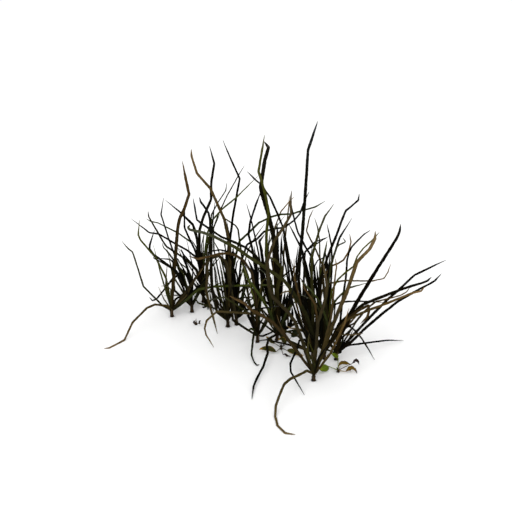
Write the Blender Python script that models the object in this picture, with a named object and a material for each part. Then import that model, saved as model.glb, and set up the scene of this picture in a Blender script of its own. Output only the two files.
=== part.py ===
"""A bunch of dried grass: tufts of long, kinked blades that stand on their cut crowns, with a few small leaves.

Metres, +Z up. X runs to the photograph's right and Y away from its camera. The origin is the middle of the centre
tuft's flat underside, on the surface that all the crowns stand on. A blade is read off the photograph as the picture
points of its bends, and a lean says how far its tip stands behind its crown. Where blades of two tufts would cross,
their bends move along the camera's sight, which leaves the picture as it is.
"""

import math
import random

import bmesh
import bpy
import numpy as np
from mathutils import Vector
from mathutils.bvhtree import BVHTree

MM = 0.001
CM = 0.01

# Driving dimensions, as real sizes
PICTURE_WIDTH = 0.72  # what the picture's width spans at the aim point
AIM_POINT = np.array([-0.031, 0.018, 0.133])  # where the camera aims, from the centre tuft's foot
CROWN_RADIUS = 2.7 * MM
CROWN_HEIGHT = 9.0 * MM
CROWN_TAPER = 0.8  # top radius over bottom radius
CROWN_SIDES = 8
WEED_RADIUS = 1.6 * MM  # the foot of a small leafy weed
WEED_HEIGHT = 5.0 * MM
ROOT_HEIGHT = 4.5 * MM  # where a blade leaves its crown's axis
LEAST_WIDTH = 1.3 * MM
LEAST_DEPTH = 0.7 * MM  # the keel's depth, which is a blade's thickness
DEPTH_OF_WIDTH = 0.28
TIP_WIDTH = 0.8 * MM
TAPER_SHARE = 0.45  # the share of a blade over which it narrows to its tip
LEAF_DEPTH = 0.8 * MM
STALK_WIDTH = 1.4 * MM
REST_GAP = 0.35 * MM  # between a blade and the surface it lies on
CLEAR_GAP = 0.4 * MM  # between blades of two nodes
SEED = 7

# The photograph's camera
PICTURE_PIXELS = 512
SENSOR_OVER_LENS = 36 / 50
ELEVATION = math.radians(30)
CAMERA_DISTANCE = PICTURE_WIDTH / SENSOR_OVER_LENS
PIXEL = PICTURE_WIDTH / PICTURE_PIXELS
FORWARD = np.array([0, math.cos(ELEVATION), -math.sin(ELEVATION)])
UPWARD = np.array([0, math.sin(ELEVATION), math.cos(ELEVATION)])
RIGHTWARD = np.array([1.0, 0, 0])
CAMERA = AIM_POINT - CAMERA_DISTANCE * FORWARD

# Colours: those of blades, and each solid's, which is that of most of its blades
STRAW = "straw"
OLIVE = "olive"
DARK = "dark"
GREEN = "green"
COLOURS = {
    STRAW: (0.16, 0.11, 0.055),
    OLIVE: (0.05, 0.05, 0.018),
    DARK: (0.012, 0.011, 0.006),
    GREEN: (0.09, 0.13, 0.02),
}
ROUGHNESS = 0.8

# Each tuft's colour and where its foot is in the picture
TUFTS = {
    "left": (STRAW, (172, 316.5)),
    "left_back": (DARK, (192, 312)),
    "back": (DARK, (203.5, 302)),
    "middle_left": (OLIVE, (228, 326.5)),
    "middle": (DARK, (236.5, 324.5)),
    "middle_front": (OLIVE, (257.5, 342)),
    "centre": (DARK, (277, 340)),
    "right": (OLIVE, (312.5, 358)),
    "right_centre": (DARK, (324, 358.5)),
    "right_end": (DARK, (336, 359.5)),
    "front": (STRAW, (313.5, 380.5)),
}
LYING = None  # the lean of a blade whose tip lies on the surface

# A blade: its colour, its width in pixels, its tip's lean in centimetres and the picture points of its bends
BLADES = {
    "left": [
        (STRAW, 3.2, 2.5, (173, 285), (175, 262), (177.5, 229), (179.5, 219), (184.5, 208), (189, 194.3),
         (185.5, 178), (182.3, 161)),
        (STRAW, 1.8, LYING, (166.5, 305.7), (161, 305.2), (155, 304.4), (147, 308), (132.5, 322.5), (124.5, 340),
         (109.5, 347.8), (104, 348.5)),
        (STRAW, 2.2, 3, (184, 294), (195, 279), (204, 265), (212, 258.5), (220, 256)),
        (OLIVE, 1.4, -4, (163, 306), (143.5, 286.5), (134, 256), (132.5, 252), (128.5, 249), (122, 241.3)),
        (GREEN, 1.6, -7, (168.5, 290), (166, 278), (156, 258), (140.5, 240), (138.3, 235), (139.4, 220)),
        (GREEN, 2.2, -6, (182, 303.5), (198.5, 289.3), (214, 286.5), (235, 285.5), (262, 284.8), (285, 285.5)),
        (DARK, 1.7, 2, (190, 294.5), (199, 286.5), (205, 279), (209, 272)),
        (OLIVE, 1.1, -2, (170.5, 289), (166.5, 286.3), (161, 286)),
    ],
    "left_back": [
        (DARK, 2.2, -2, (187, 287), (176, 271), (153.5, 254.5), (149.6, 249), (149.8, 244.5), (154.5, 230)),
        (DARK, 1.2, -6, (186, 288), (173.5, 269.5), (161, 262), (153.5, 258), (155, 255.5)),
        (DARK, 1.5, 7, (188, 290), (181, 272), (172, 248), (168.5, 238), (161, 214.5), (163.7, 197.5)),
        (OLIVE, 1.2, 3, (189, 295), (184, 275), (169, 253), (163.5, 247.5), (162.2, 243)),
        (DARK, 1.1, 1, (187, 299), (183, 295.4), (176, 295.3), (164, 295.9)),
        (DARK, 1.8, 7, (186, 294), (180, 281), (176.5, 272), (172, 262)),
        (OLIVE, 1.4, 9, (193, 281), (188.5, 269.5), (180, 263), (176, 257)),
    ],
    "back": [
        (DARK, 2.0, -2, (197, 287), (186, 274.5), (180, 273.5), (172, 279.5), (157, 298.5), (152.5, 300.6),
         (149.3, 297)),
        (DARK, 1.8, 2, (203, 270), (196, 257), (186, 249.5), (175, 243.5), (158.6, 233.8), (149.4, 232.6),
         (131, 218.5)),
        (OLIVE, 1.8, 5, (201, 285), (196, 270), (186, 259.5), (166.5, 246.5), (163, 241.5), (154, 226),
         (148.8, 216.8), (148, 211)),
        (GREEN, 1.6, 9, (203, 280), (198, 260), (192, 243), (178, 233), (158, 223), (150.5, 221.4), (145.9, 218.5)),
        (DARK, 2.6, 0, (202, 275), (199.5, 250), (199.3, 231), (203, 218), (211, 199.5), (211.3, 182),
         (214.2, 163.5), (209.5, 146)),
        (GREEN, 1.6, -5, (203.5, 270), (205.5, 247), (208, 232), (212, 220.5), (222.5, 209), (237, 197),
         (258.5, 175.5)),
        (OLIVE, 1.3, 8, (208, 265), (210, 235), (211.5, 214.5), (217.5, 203), (225.8, 190.5), (226.8, 182.5)),
        (DARK, 1.7, 11, (202, 275), (199.5, 250), (196, 232), (193, 224), (184, 215.5), (165.3, 200)),
        (DARK, 2.0, 6, (201, 275), (196, 252), (189.5, 239), (184.5, 228), (184.3, 213), (185.5, 203)),
        (DARK, 1.8, 4, (202, 285), (197, 270), (190, 262), (178.5, 248)),
        (OLIVE, 1.2, 12, (203, 270), (203.3, 240), (205, 228)),
        (DARK, 3.0, -1, (206.5, 302.5), (208.3, 306), (208, 310)),
    ],
    "middle_left": [
        (STRAW, 2.6, 1, (229.5, 290), (230, 262), (228.5, 240), (224.5, 219.5), (217, 203), (210.5, 188.5),
         (197, 173.5), (191.7, 156.5), (191.2, 149)),
        (OLIVE, 1.2, 10, (222, 290), (214, 250), (213.5, 228), (219, 213), (227, 196), (238.5, 175.5),
         (244.5, 165.5)),
        (DARK, 2.4, -3, (217, 312), (212, 290), (210.7, 245), (210, 221), (208.5, 213), (205.5, 208.5),
         (200.5, 201.5), (199.3, 197)),
        (GREEN, 1.8, 5, (231, 290), (234, 262), (239.5, 241), (249, 232.5), (259, 222.5), (271, 217), (279, 214.5),
         (292, 213.8), (305, 209.8), (315, 207), (325.5, 201)),
        (OLIVE, 1.8, 12, (229, 290), (227.5, 262), (225, 246), (223, 238)),
    ],
    "middle": [
        (DARK, 2.2, 7, (232, 290), (230.5, 262), (230, 240), (233.5, 213), (236.5, 197), (239.8, 178.5),
         (230, 157), (222.8, 140)),
        (DARK, 1.8, 3, (238, 290), (241, 262), (247, 244.5), (256.5, 239.5), (264, 231.5), (273, 229),
         (284, 227.5), (294, 220.5), (300, 213.5), (303.5, 203), (309.3, 191.5)),
        (STRAW, 2.6, LYING, (230, 285), (226, 262), (219, 256), (211, 258), (206.5, 263), (207.5, 275), (206, 291),
         (209, 303), (213, 317), (217.5, 334)),
        (DARK, 1.6, -2, (236, 285), (233, 262), (227, 251.5), (220, 249.7), (212, 251), (203, 254.5)),
        (GREEN, 1.6, 5, (229, 295), (222.5, 265), (218, 249), (212.5, 239)),
        (OLIVE, 1.2, 4, (235, 305), (240, 298), (250, 297), (268, 299.3)),
        (OLIVE, 1.1, 11, (240, 280), (248, 250), (256.5, 235), (265, 223.5)),
    ],
    "middle_front": [
        (DARK, 2.2, 3, (257, 300), (255.5, 270), (252.5, 250), (248.5, 235), (250, 222), (256, 204), (262, 188)),
        (DARK, 1.4, 8, (262, 290), (260, 262), (257.5, 248), (254, 232), (250.5, 217), (246.5, 203.5)),
        (STRAW, 2.2, -3, (256, 300), (252, 273), (244, 261), (236, 255.5), (228, 253), (219, 254), (209, 256.5),
         (198, 259), (188.5, 256)),
        (OLIVE, 1.8, 11, (249, 300), (243, 265), (239.5, 241), (238, 229.5), (235.5, 225.5), (227, 220),
         (222.5, 217)),
        (GREEN, 1.4, 1, (256, 310), (253.5, 297), (250, 285), (245, 270), (241, 262)),
        (DARK, 1.5, -3, (252, 318), (251, 310), (258, 308.7), (268, 307.5), (279, 306)),
        (DARK, 1.5, -2, (263, 336), (271, 332.5), (279, 326)),
        (STRAW, 1.6, 4, (262, 330), (267, 322), (275, 310), (281, 296)),
        (OLIVE, 1.8, LYING, (254.5, 331), (252.8, 340), (251.3, 355), (254.3, 362.8), (257, 365.5), (259.5, 364.3)),
        (OLIVE, 1.1, 6, (262, 280), (268, 247), (274.5, 229), (285, 215.5)),
        (GREEN, 2.0, -2, (254, 330), (251, 328.5), (246.8, 331.2)),
    ],
    "centre": [
        (DARK, 4.2, 1, (277.5, 300), (276, 262), (273.5, 236), (268, 213), (263, 197), (260.7, 188), (262.5, 174),
         (264.8, 160), (268.4, 147.5), (263.8, 141.3)),
        (GREEN, 2.4, -3, (271, 305), (268.5, 282), (266, 255), (266.5, 232), (268.5, 212), (265.5, 195), (261, 180),
         (258.5, 171.5), (261.5, 153), (264.5, 135)),
        (DARK, 3.0, 6, (289, 310), (294.5, 285), (298.5, 264), (302, 238), (304.8, 200), (306.5, 175), (308, 150),
         (313, 135.5), (317.7, 121)),
        (DARK, 2.2, -1, (272, 300), (266, 272), (256, 256), (246, 247.5), (233, 241.5), (222, 237), (212, 230.5),
         (201, 223), (197, 219.5), (195, 208), (193, 198)),
        (STRAW, 1.2, 9, (275, 290), (273, 255), (275, 227), (281, 211.5), (289, 202), (294, 197)),
        (STRAW, 1.4, 12, (282, 290), (284, 250), (287, 222), (288.8, 207), (289.3, 196)),
        (GREEN, 2.2, -5, (270, 312), (262, 299), (254, 287), (240, 268)),
        (STRAW, 1.9, LYING, (274, 325), (265, 317.5), (255, 313.8), (240, 312.7), (217, 311.3), (206.5, 320.5),
         (204.6, 328.5), (206, 335), (214, 347.5)),
        (DARK, 2.0, LYING, (269, 338.5), (266.8, 345), (267.7, 353), (263.5, 366), (256.5, 379), (253.5, 386.5),
         (251.8, 399.5)),
        (STRAW, 1.4, 3, (288, 326), (288, 310), (289.5, 299), (293, 288)),
    ],
    "right": [
        (OLIVE, 3.0, -3, (313, 335), (306, 314), (297, 299), (289, 286.5), (284, 280.5), (270, 270.5),
         (250, 257.5), (236, 247.5), (226, 242.5), (212, 235.5), (203, 232.5), (189.5, 229.5), (188.2, 227.5),
         (190.5, 224.5)),
        (DARK, 2.0, 8, (304, 320), (296, 293), (290.5, 268), (286.5, 245), (283, 228), (278, 215), (270, 197.5),
         (262, 185.5), (254.5, 179), (247, 171.5)),
        (DARK, 3.0, 5, (312, 310), (308.5, 282), (304, 262), (301.5, 250), (301, 238)),
        (DARK, 1.4, 7, (297, 318), (289, 288), (286, 268), (282.5, 253), (281.3, 235)),
        (OLIVE, 2.4, 0, (313, 310), (312, 280), (311.8, 258), (315.5, 244), (319, 231.5), (325, 216.5), (334, 204)),
        (DARK, 1.8, 11, (303, 315), (299, 280), (300.5, 260), (306, 250.5), (316, 244), (328.5, 236.5)),
        (DARK, 2.5, 2, (317, 315), (320.5, 280), (327, 258), (336, 236), (341, 222), (345.8, 210.5), (358, 200.3),
         (359.3, 193.5)),
        (STRAW, 1.5, 5, (317, 310), (322, 280), (331, 266), (338, 263.5), (343.5, 260), (348.5, 252), (351, 242),
         (349.5, 234)),
        (STRAW, 1.4, 3, (318, 315), (322, 290), (331, 283), (345, 280.4), (372, 281), (384, 278.3), (388, 271.5),
         (390.7, 264)),
        (GREEN, 2.4, 9, (319, 310), (319.5, 285), (322, 266), (325, 252), (327.3, 240.3)),
        (DARK, 1.3, 3, (314, 300), (314.5, 266), (317.5, 260.3), (324, 257.5), (325, 250)),
        (STRAW, 1.6, 4, (302, 325), (295, 300), (290, 291), (284, 292), (280, 295)),
        (DARK, 1.6, LYING, (305, 339.5), (299.5, 340.5), (297.3, 348.5), (290.3, 363.5), (290.8, 372),
         (293.5, 376.3), (304.5, 395)),
        (STRAW, 1.0, 2, (302, 310), (297, 285), (293.5, 268), (290.8, 259)),
    ],
    "right_centre": [
        (DARK, 1.8, 9, (319, 310), (315.5, 280), (312.5, 258), (305.5, 247), (298, 232.5), (294.5, 220),
         (291.5, 207), (290.5, 199)),
        (DARK, 2.0, 13, (313, 300), (308, 272), (302, 250), (294.5, 235), (288, 222.5)),
        (OLIVE, 1.3, 14, (319, 300), (320, 262), (319.5, 240), (317.5, 227), (314.5, 218)),
        (DARK, 1.6, 8, (330, 300), (332, 265), (331.5, 246), (329, 233), (327, 224)),
        (DARK, 2.0, 4, (324, 320), (327, 282), (333, 258), (337, 246), (339.5, 238), (352, 218)),
        (OLIVE, 1.5, -3, (326, 300), (331, 265), (336, 248), (338.5, 245.2), (345.5, 241.7), (342.7, 237.8)),
        (GREEN, 1.3, 1, (329, 315), (332, 290), (338, 279.5), (345.5, 272.5), (353.3, 266.7), (357.5, 256),
         (363, 248.8), (374, 238.5), (379.5, 232)),
        (DARK, 3.3, 3, (337, 331), (350, 314), (359.5, 298), (371, 279), (385, 257), (397, 238), (400, 231),
         (400.8, 224)),
        (GREEN, 1.5, -4, (329, 325), (334.5, 302), (338.5, 297), (343.5, 292.5), (350, 287.5), (367, 283)),
        (DARK, 1.5, -6, (328, 325), (333, 305), (342, 301.8), (356, 301), (370, 301.5), (384, 302.5)),
        (STRAW, 2.0, -5, (338, 330), (346, 320.5), (357, 315), (370, 309.7), (388, 303), (411, 293.5),
         (421, 291.2), (424.7, 287)),
        (STRAW, 2.4, -2, (340, 330), (350, 317), (360, 309.5), (368.7, 305.3), (369, 311), (367.3, 316.8),
         (360.5, 323.8)),
        (DARK, 1.5, LYING, (336, 335), (343, 326), (350, 326.5), (355.5, 331), (361.5, 338), (366, 345),
         (374.7, 360)),
        (STRAW, 1.1, -3, (334, 340), (341, 334.5), (352, 334.8), (363, 333.3)),
        (DARK, 3.0, 5, (330, 325), (329.5, 300), (327.5, 280), (327, 265), (325.5, 252)),
        (GREEN, 1.8, -5, (329, 328), (324, 312), (318, 299), (311, 290), (301, 281)),
        (STRAW, 1.3, 4, (320, 336), (308, 330.5), (296, 328.7), (290, 328), (286, 325.5)),
    ],
    "right_end": [
        (STRAW, 1.4, 4, (328, 320), (324.5, 290), (322, 264), (316, 250), (306.5, 231), (309.5, 217.5),
         (313.5, 209.3)),
        (DARK, 1.8, 5, (339.5, 328), (342.5, 300), (345.7, 280), (347.3, 260), (349, 252.5), (352, 246.5),
         (364, 234.5), (370.5, 230)),
        (DARK, 2.6, 0, (341, 335), (352, 314), (363, 304.5), (372, 300.5), (400, 289.8), (412, 285.7),
         (421, 283.3), (427.5, 280.7), (431.5, 277)),
        (DARK, 2.2, 6, (346, 343), (357, 331), (372, 315), (387, 300), (399, 289.5), (414.5, 275), (430, 267.5),
         (446, 260)),
        (DARK, 2.2, -2, (350, 343), (366, 327.5), (383, 313), (399, 300.5), (415, 291.5), (434.5, 281),
         (441.5, 273.5)),
        (STRAW, 1.3, 3, (340, 332), (349, 325.7), (354, 323.5), (362, 314), (370, 306), (376, 301.5),
         (388, 298.7), (400, 295.5), (406.5, 292), (409.7, 287.5)),
        (DARK, 1.5, LYING, (342, 348), (349, 345.2), (362, 343.5), (378, 341.5), (387, 340.3), (403.5, 340.5)),
    ],
    "front": [
        (STRAW, 3.2, 0, (321, 357), (327, 340), (334, 322), (341, 305), (346.5, 293), (351, 279), (357, 262),
         (370, 248.5), (374.8, 239), (375.3, 231)),
        (STRAW, 2.6, 1, (316.5, 345), (318, 322), (323, 308), (326, 296), (327, 284), (324.5, 270), (323, 262)),
        (STRAW, 2.0, 1.5, (317, 345), (317.5, 325), (315.5, 305), (311, 297.5), (305.5, 290), (303, 284)),
        (STRAW, 2.6, -3, (296, 350), (286, 337), (272, 322), (262, 315.5), (251, 310), (244, 303), (236, 299.5),
         (229.5, 296)),
        (STRAW, 2.8, 1, (307.5, 358), (302, 340), (294.5, 321), (287, 311), (273, 297.5), (268.5, 286), (267, 262),
         (274, 241), (283, 228), (291, 214), (290.3, 203), (291.5, 190.5)),
        (STRAW, 1.8, 1, (321, 366), (330.5, 353), (336, 342), (345, 322), (349, 308)),
        (STRAW, 2.0, LYING, (307, 370.5), (303, 373), (290, 379), (284.3, 384), (279.5, 395), (275.7, 406),
         (275.2, 416.5), (277.5, 425.5), (285, 433), (295.5, 434.6)),
        (STRAW, 1.8, 2, (324, 345), (331, 318), (333.5, 295), (335.3, 276), (336.7, 267), (335.5, 258.5)),
    ],
}

# The small leafy weeds among the crowns: the foot's picture point, then each leaf's width in pixels and its
# base, middle and tip as picture points with their heights in millimetres
WEEDS = {
    "weed_left": ((196, 324.5), [
        (3.0, (194.8, 321, 4), (193.3, 316, 7), (192.3, 310.5, 8)),
        (3.0, (198, 323.5, 4), (199.5, 322, 6), (201, 320.5, 8)),
    ]),
    "weed_centre": ((281, 349), [
        (5.5, (276, 351, 4), (268.5, 349, 7), (259, 350, 5)),
        (4.5, (275, 343.5, 7), (270.5, 340, 10), (266, 336.5, 12)),
        (4.0, (281.5, 345.5, 6), (281, 342.5, 9), (279.5, 339, 12)),
        (2.6, (283, 354.5, 2), (287, 355, 2.5), (291, 356.3, 2)),
        (6.0, (287, 350.5, 5), (294.5, 351.5, 7), (303.5, 356, 4)),
        (7.0, (289, 341, 12), (295, 334, 19), (300.5, 330, 21)),
        (6.0, (283, 338, 11), (284, 330, 19), (286, 321.5, 26)),
    ]),
    "weed_right": ((338, 372), [
        (6.5, (332, 370, 3), (325, 369.5, 5), (319.5, 367, 7)),
        (4.0, (337, 362, 9), (335, 357.5, 13), (332, 353, 17)),
        (4.5, (341, 367.5, 4), (345.5, 364.3, 6), (352, 363.8, 7)),
        (6.5, (344, 371.5, 2.5), (350.5, 369.5, 4), (357.5, 374, 2.5)),
        (4.0, (347, 367, 8), (353, 363.5, 11), (359, 363, 12)),
    ]),
}

# Where a blade leans on a neighbouring tuft: its tuft, its row, the neighbour and the picture point
LEANINGS = [
    ("left_back", 2, "back", (168.8, 239.1)),
    ("middle_left", 0, "left", (228.4, 284)),
    ("middle", 1, "centre", (275.4, 228.7)),
    ("left", 2, "back", (204, 265)),
    ("middle_front", 1, "middle_left", (253.5, 229)),
    ("centre", 7, "middle_front", (256, 314)),
    ("right", 11, "centre", (280, 295)),
    ("right_centre", 1, "right", (317, 324)),
    ("right_centre", 12, "right_end", (345, 327)),
    ("weed_centre", 6, "centre", (284, 330)),
    ("weed_right", 1, "right_end", (336, 356)),
    ("weed_left", 0, "left_back", (192.3, 311)),
    ("front", 0, "right_centre", (326, 335)),
]

# The short inner blades of each tuft, by rule, in pixels
SHORT_BLADES = 5
SHORT_LENGTH = (28, 78)
SHORT_WIDTH = (1.0, 1.9)
SHORT_SLANT = 0.6  # radians to each side of upright
SHORT_BEND = 0.5
SHORT_KNEE = 0.6
SHORT_LEAN = (-3, 9)  # centimetres

# How blades are laid out and bent clear of each other
LEAN_POWER = 1.3
TWIST = 0.7  # radians, root to tip, at most
LONGEST_SPAN = 34  # pixels between two bends
ROOT_CIRCLE = 0.5 * MM
ROOT_WIDTH = 1.2 * CROWN_RADIUS
STALK_ROOT = 0.6 * WEED_HEIGHT
NECK_HEIGHT = 11 * MM  # up to here a blade goes straight up out of its crown
GOLDEN_ANGLE = math.pi * (3 - math.sqrt(5))
SAMPLE_STEP = 1.5  # pixels
SLOPE_ALLOWANCE = 1.35  # on a blade's thickness, for its slope to the camera's sight
CROWN_MARKS = 8
CLEARING_PASSES = 4
CLEARING_ROUNDS = 3000
CLEARING_STEP = 0.6  # of what is missing, in each round
ORDER_ROUNDS = 60  # after these, which blade passes in front is judged again
CROWN_TRUST = 50  # how much more the order at the crowns counts than that higher up
LEAST_MOVE = 0.05 * MM
STILL_TIGHT = 0.3 * MM
LEANING_ROUNDS = 12
LEANING_REACH = 12  # pixels
SEAT_GAP = 0.35 * MM
PROBE_STEP = 0.5 * MM


def ray(point):
    """The way from the camera through a picture point, one metre deep."""
    across = (point[0] - PICTURE_PIXELS / 2) * PIXEL / CAMERA_DISTANCE
    up = (PICTURE_PIXELS / 2 - point[1]) * PIXEL / CAMERA_DISTANCE
    return FORWARD + across * RIGHTWARD + up * UPWARD


def depth_at_height(point, height):
    return (height - CAMERA[2]) / ray(point)[2]


def on_surface(point):
    return CAMERA + depth_at_height(point, 0) * ray(point)


def picture_point(place):
    """Where the camera sees a place, and how deep."""
    offset = np.asarray(place) - CAMERA
    depth = offset @ FORWARD
    across = offset @ RIGHTWARD / depth * CAMERA_DISTANCE / PIXEL
    up = offset @ UPWARD / depth * CAMERA_DISTANCE / PIXEL
    return np.array([PICTURE_PIXELS / 2 + across, PICTURE_PIXELS / 2 - up]), depth


class Blade:
    """A blade or leaf: the picture points of its bends, their depths, and a width at each."""

    def __init__(self, node, points, depths, widths, twist=0.0, thickness=None, spare=False):
        self.node = node
        self.points = np.array(points, float)
        self.depths = np.array(depths, float)
        self.widths = np.array(widths, float)
        self.twist = twist  # radians, root to tip
        self.thickness = thickness
        self.spare = spare  # left out where it can't be bent clear
        self.fixed = 1 if thickness else 2  # bends that stay in the crown or straight over it

    def shares(self):
        lengths = np.linalg.norm(np.diff(self.points, axis=0), axis=1)
        return np.concatenate([[0], np.cumsum(lengths)]) / lengths.sum()

    def thicknesses(self):
        if self.thickness:
            return np.full(len(self.points), self.thickness)
        return np.maximum(self.widths * DEPTH_OF_WIDTH, LEAST_DEPTH)

    def reaches(self):
        """How far each section reaches to the camera and away, at most."""
        turned = np.abs(np.sin(self.twist * self.shares()))
        return (self.thicknesses() + self.widths * turned) / 2 * SLOPE_ALLOWANCE

    def deepest(self):
        """How deep each bend may go before the blade would reach the surface."""
        lifts = REST_GAP + self.reaches()
        return [depth_at_height(point, lift) for point, lift in zip(self.points, lifts)]

    def places(self):
        return [CAMERA + depth * ray(point) for point, depth in zip(self.points, self.depths)]


def split_spans(points):
    """The picture points with more between two that are far apart."""
    split = [points[0]]
    for start, end in zip(points, points[1:]):
        count = max(1, math.ceil(math.dist(start, end) / LONGEST_SPAN))
        split += [np.add(start, np.subtract(end, start) * (i + 1) / count) for i in range(count)]
    return split


def grass_blade(node, foot, number, row, twist, spare):
    """A blade that leaves the crown on foot, by its row of BLADES."""
    _, width_pixels, lean, *bends = row
    angle = number * GOLDEN_ANGLE
    root = foot + np.array([ROOT_CIRCLE * math.cos(angle), ROOT_CIRCLE * math.sin(angle), ROOT_HEIGHT])
    neck = root + np.array([0, 0, NECK_HEIGHT - ROOT_HEIGHT])
    (root_point, root_depth), (neck_point, neck_depth) = picture_point(root), picture_point(neck)
    points = split_spans([root_point, neck_point, *bends])
    width = max(width_pixels * PIXEL, LEAST_WIDTH)
    blade = Blade(node, points, np.zeros(len(points)), np.full(len(points), width), twist, spare=spare)
    shares = blade.shares()
    if lean is LYING:
        far = root[1] + (on_surface(bends[-1])[1] - root[1]) * shares
    else:
        far = root[1] + lean * CM * shares ** LEAN_POWER
    blade.depths = np.array([(y - CAMERA[1]) / ray(point)[1] for y, point in zip(far, points)])
    blade.depths[:2] = root_depth, neck_depth
    narrowing = np.clip((1 - shares) / TAPER_SHARE, 0, 1)
    blade.widths = TIP_WIDTH + (blade.widths - TIP_WIDTH) * narrowing
    blade.widths[:2] = min(width, ROOT_WIDTH)
    return blade


def weed_leaf(node, foot, width_pixels, marks):
    """A small leaf on its stalk from a weed's foot."""
    root_point, root_depth = picture_point(foot + np.array([0, 0, STALK_ROOT]))
    points = [root_point] + [mark[:2] for mark in marks]
    depths = [root_depth] + [depth_at_height(mark[:2], mark[2] * MM) for mark in marks]
    widths = [STALK_WIDTH, STALK_WIDTH, width_pixels * PIXEL, TIP_WIDTH]
    return Blade(node, points, depths, widths, thickness=LEAF_DEPTH)


def short_blades(dice, foot_point):
    """The tuft's short inner blades, as rows like those of BLADES."""
    for _ in range(SHORT_BLADES):
        slant = dice.uniform(-SHORT_SLANT, SHORT_SLANT)
        bend = slant + dice.uniform(-SHORT_BEND, SHORT_BEND)
        length = dice.uniform(*SHORT_LENGTH)
        knee = (foot_point[0] + SHORT_KNEE * length * math.sin(slant),
                foot_point[1] - SHORT_KNEE * length * math.cos(slant))
        tip = (knee[0] + (1 - SHORT_KNEE) * length * math.sin(bend),
               knee[1] - (1 - SHORT_KNEE) * length * math.cos(bend))
        colour = dice.choice((STRAW, OLIVE, DARK, GREEN))
        yield (colour, dice.uniform(*SHORT_WIDTH), dice.uniform(*SHORT_LEAN), knee, tip)


def lay_out():
    """All feet, by node name, and all blades."""
    feet = {}
    blades = []
    for tuft, (_, foot_point) in TUFTS.items():
        dice = random.Random(f"{tuft} {SEED}")
        feet[tuft] = on_surface(foot_point)
        rows = BLADES[tuft] + list(short_blades(dice, foot_point))
        for number, row in enumerate(rows):
            spare = number >= len(BLADES[tuft])
            blades.append(grass_blade(tuft, feet[tuft], number, row, dice.uniform(-TWIST, TWIST), spare))
    for weed, (foot_point, leaves) in WEEDS.items():
        feet[weed] = on_surface(foot_point)
        for width, *marks in leaves:
            blades.append(weed_leaf(weed, feet[weed], width, marks))
    return feet, blades


def crown_size(node):
    return (WEED_RADIUS, WEED_HEIGHT) if node in WEEDS else (CROWN_RADIUS, CROWN_HEIGHT)


def crown_marks(node, foot):
    height = crown_size(node)[1]
    return [picture_point(foot + np.array([0, 0, height * part])) for part in np.linspace(0, 1, CROWN_MARKS)]


class Samples:
    """Close points along every blade and crown, which show where two of them meet in the picture."""

    def __init__(self, feet, blades):
        nodes = {name: number for number, name in enumerate(feet)}
        rows = []
        start = 0
        for number, blade in enumerate(blades):
            deep = blade.reaches()
            for i, (a, b) in enumerate(zip(blade.points, blade.points[1:])):
                count = max(2, math.ceil(math.dist(a, b) / SAMPLE_STEP))
                for part in (np.arange(count) + 0.5) / count:
                    half = (blade.widths[i] * (1 - part) + blade.widths[i + 1] * part) / 2 / PIXEL
                    reach = deep[i] * (1 - part) + deep[i + 1] * part
                    rows.append((nodes[blade.node], number, start + i, part, *(a + (b - a) * part), half, reach))
            start += len(blade.points)
        for number, (name, foot) in enumerate(feet.items()):
            radius = crown_size(name)[0]
            for point, _ in crown_marks(name, foot):
                rows.append((nodes[name], len(blades) + number, start, 0, *point, radius / PIXEL, radius))
                start += 1
        columns = np.array(rows).T
        self.node, self.blade, self.first = columns[:3].astype(int)
        self.share, self.half, self.reach = columns[3], columns[6], columns[7]
        self.where = columns[4:6].T
        self.second = np.minimum(self.first + 1, start - 1)

    def depths(self, bend_depths):
        return bend_depths[self.first] * (1 - self.share) + bend_depths[self.second] * self.share

    def meetings(self, blade_count):
        """The pairs of samples of two nodes that overlap in the picture, other than two crowns."""
        order = np.argsort(self.where[:, 0], kind="stable")
        across = self.where[order, 0]
        widest = 2 * self.half.max() + SAMPLE_STEP
        found = []
        for rank, i in enumerate(order):
            others = order[rank + 1:np.searchsorted(across, across[rank] + widest, side="right")]
            others = others[self.node[others] != self.node[i]]
            apart = np.linalg.norm(self.where[others] - self.where[i], axis=1)
            others = others[apart < self.half[others] + self.half[i] + SAMPLE_STEP]
            others = others[(self.blade[others] < blade_count) | (self.blade[i] < blade_count)]
            found.append(np.stack([np.full(len(others), i), others], axis=1))
        return np.concatenate(found).T


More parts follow.
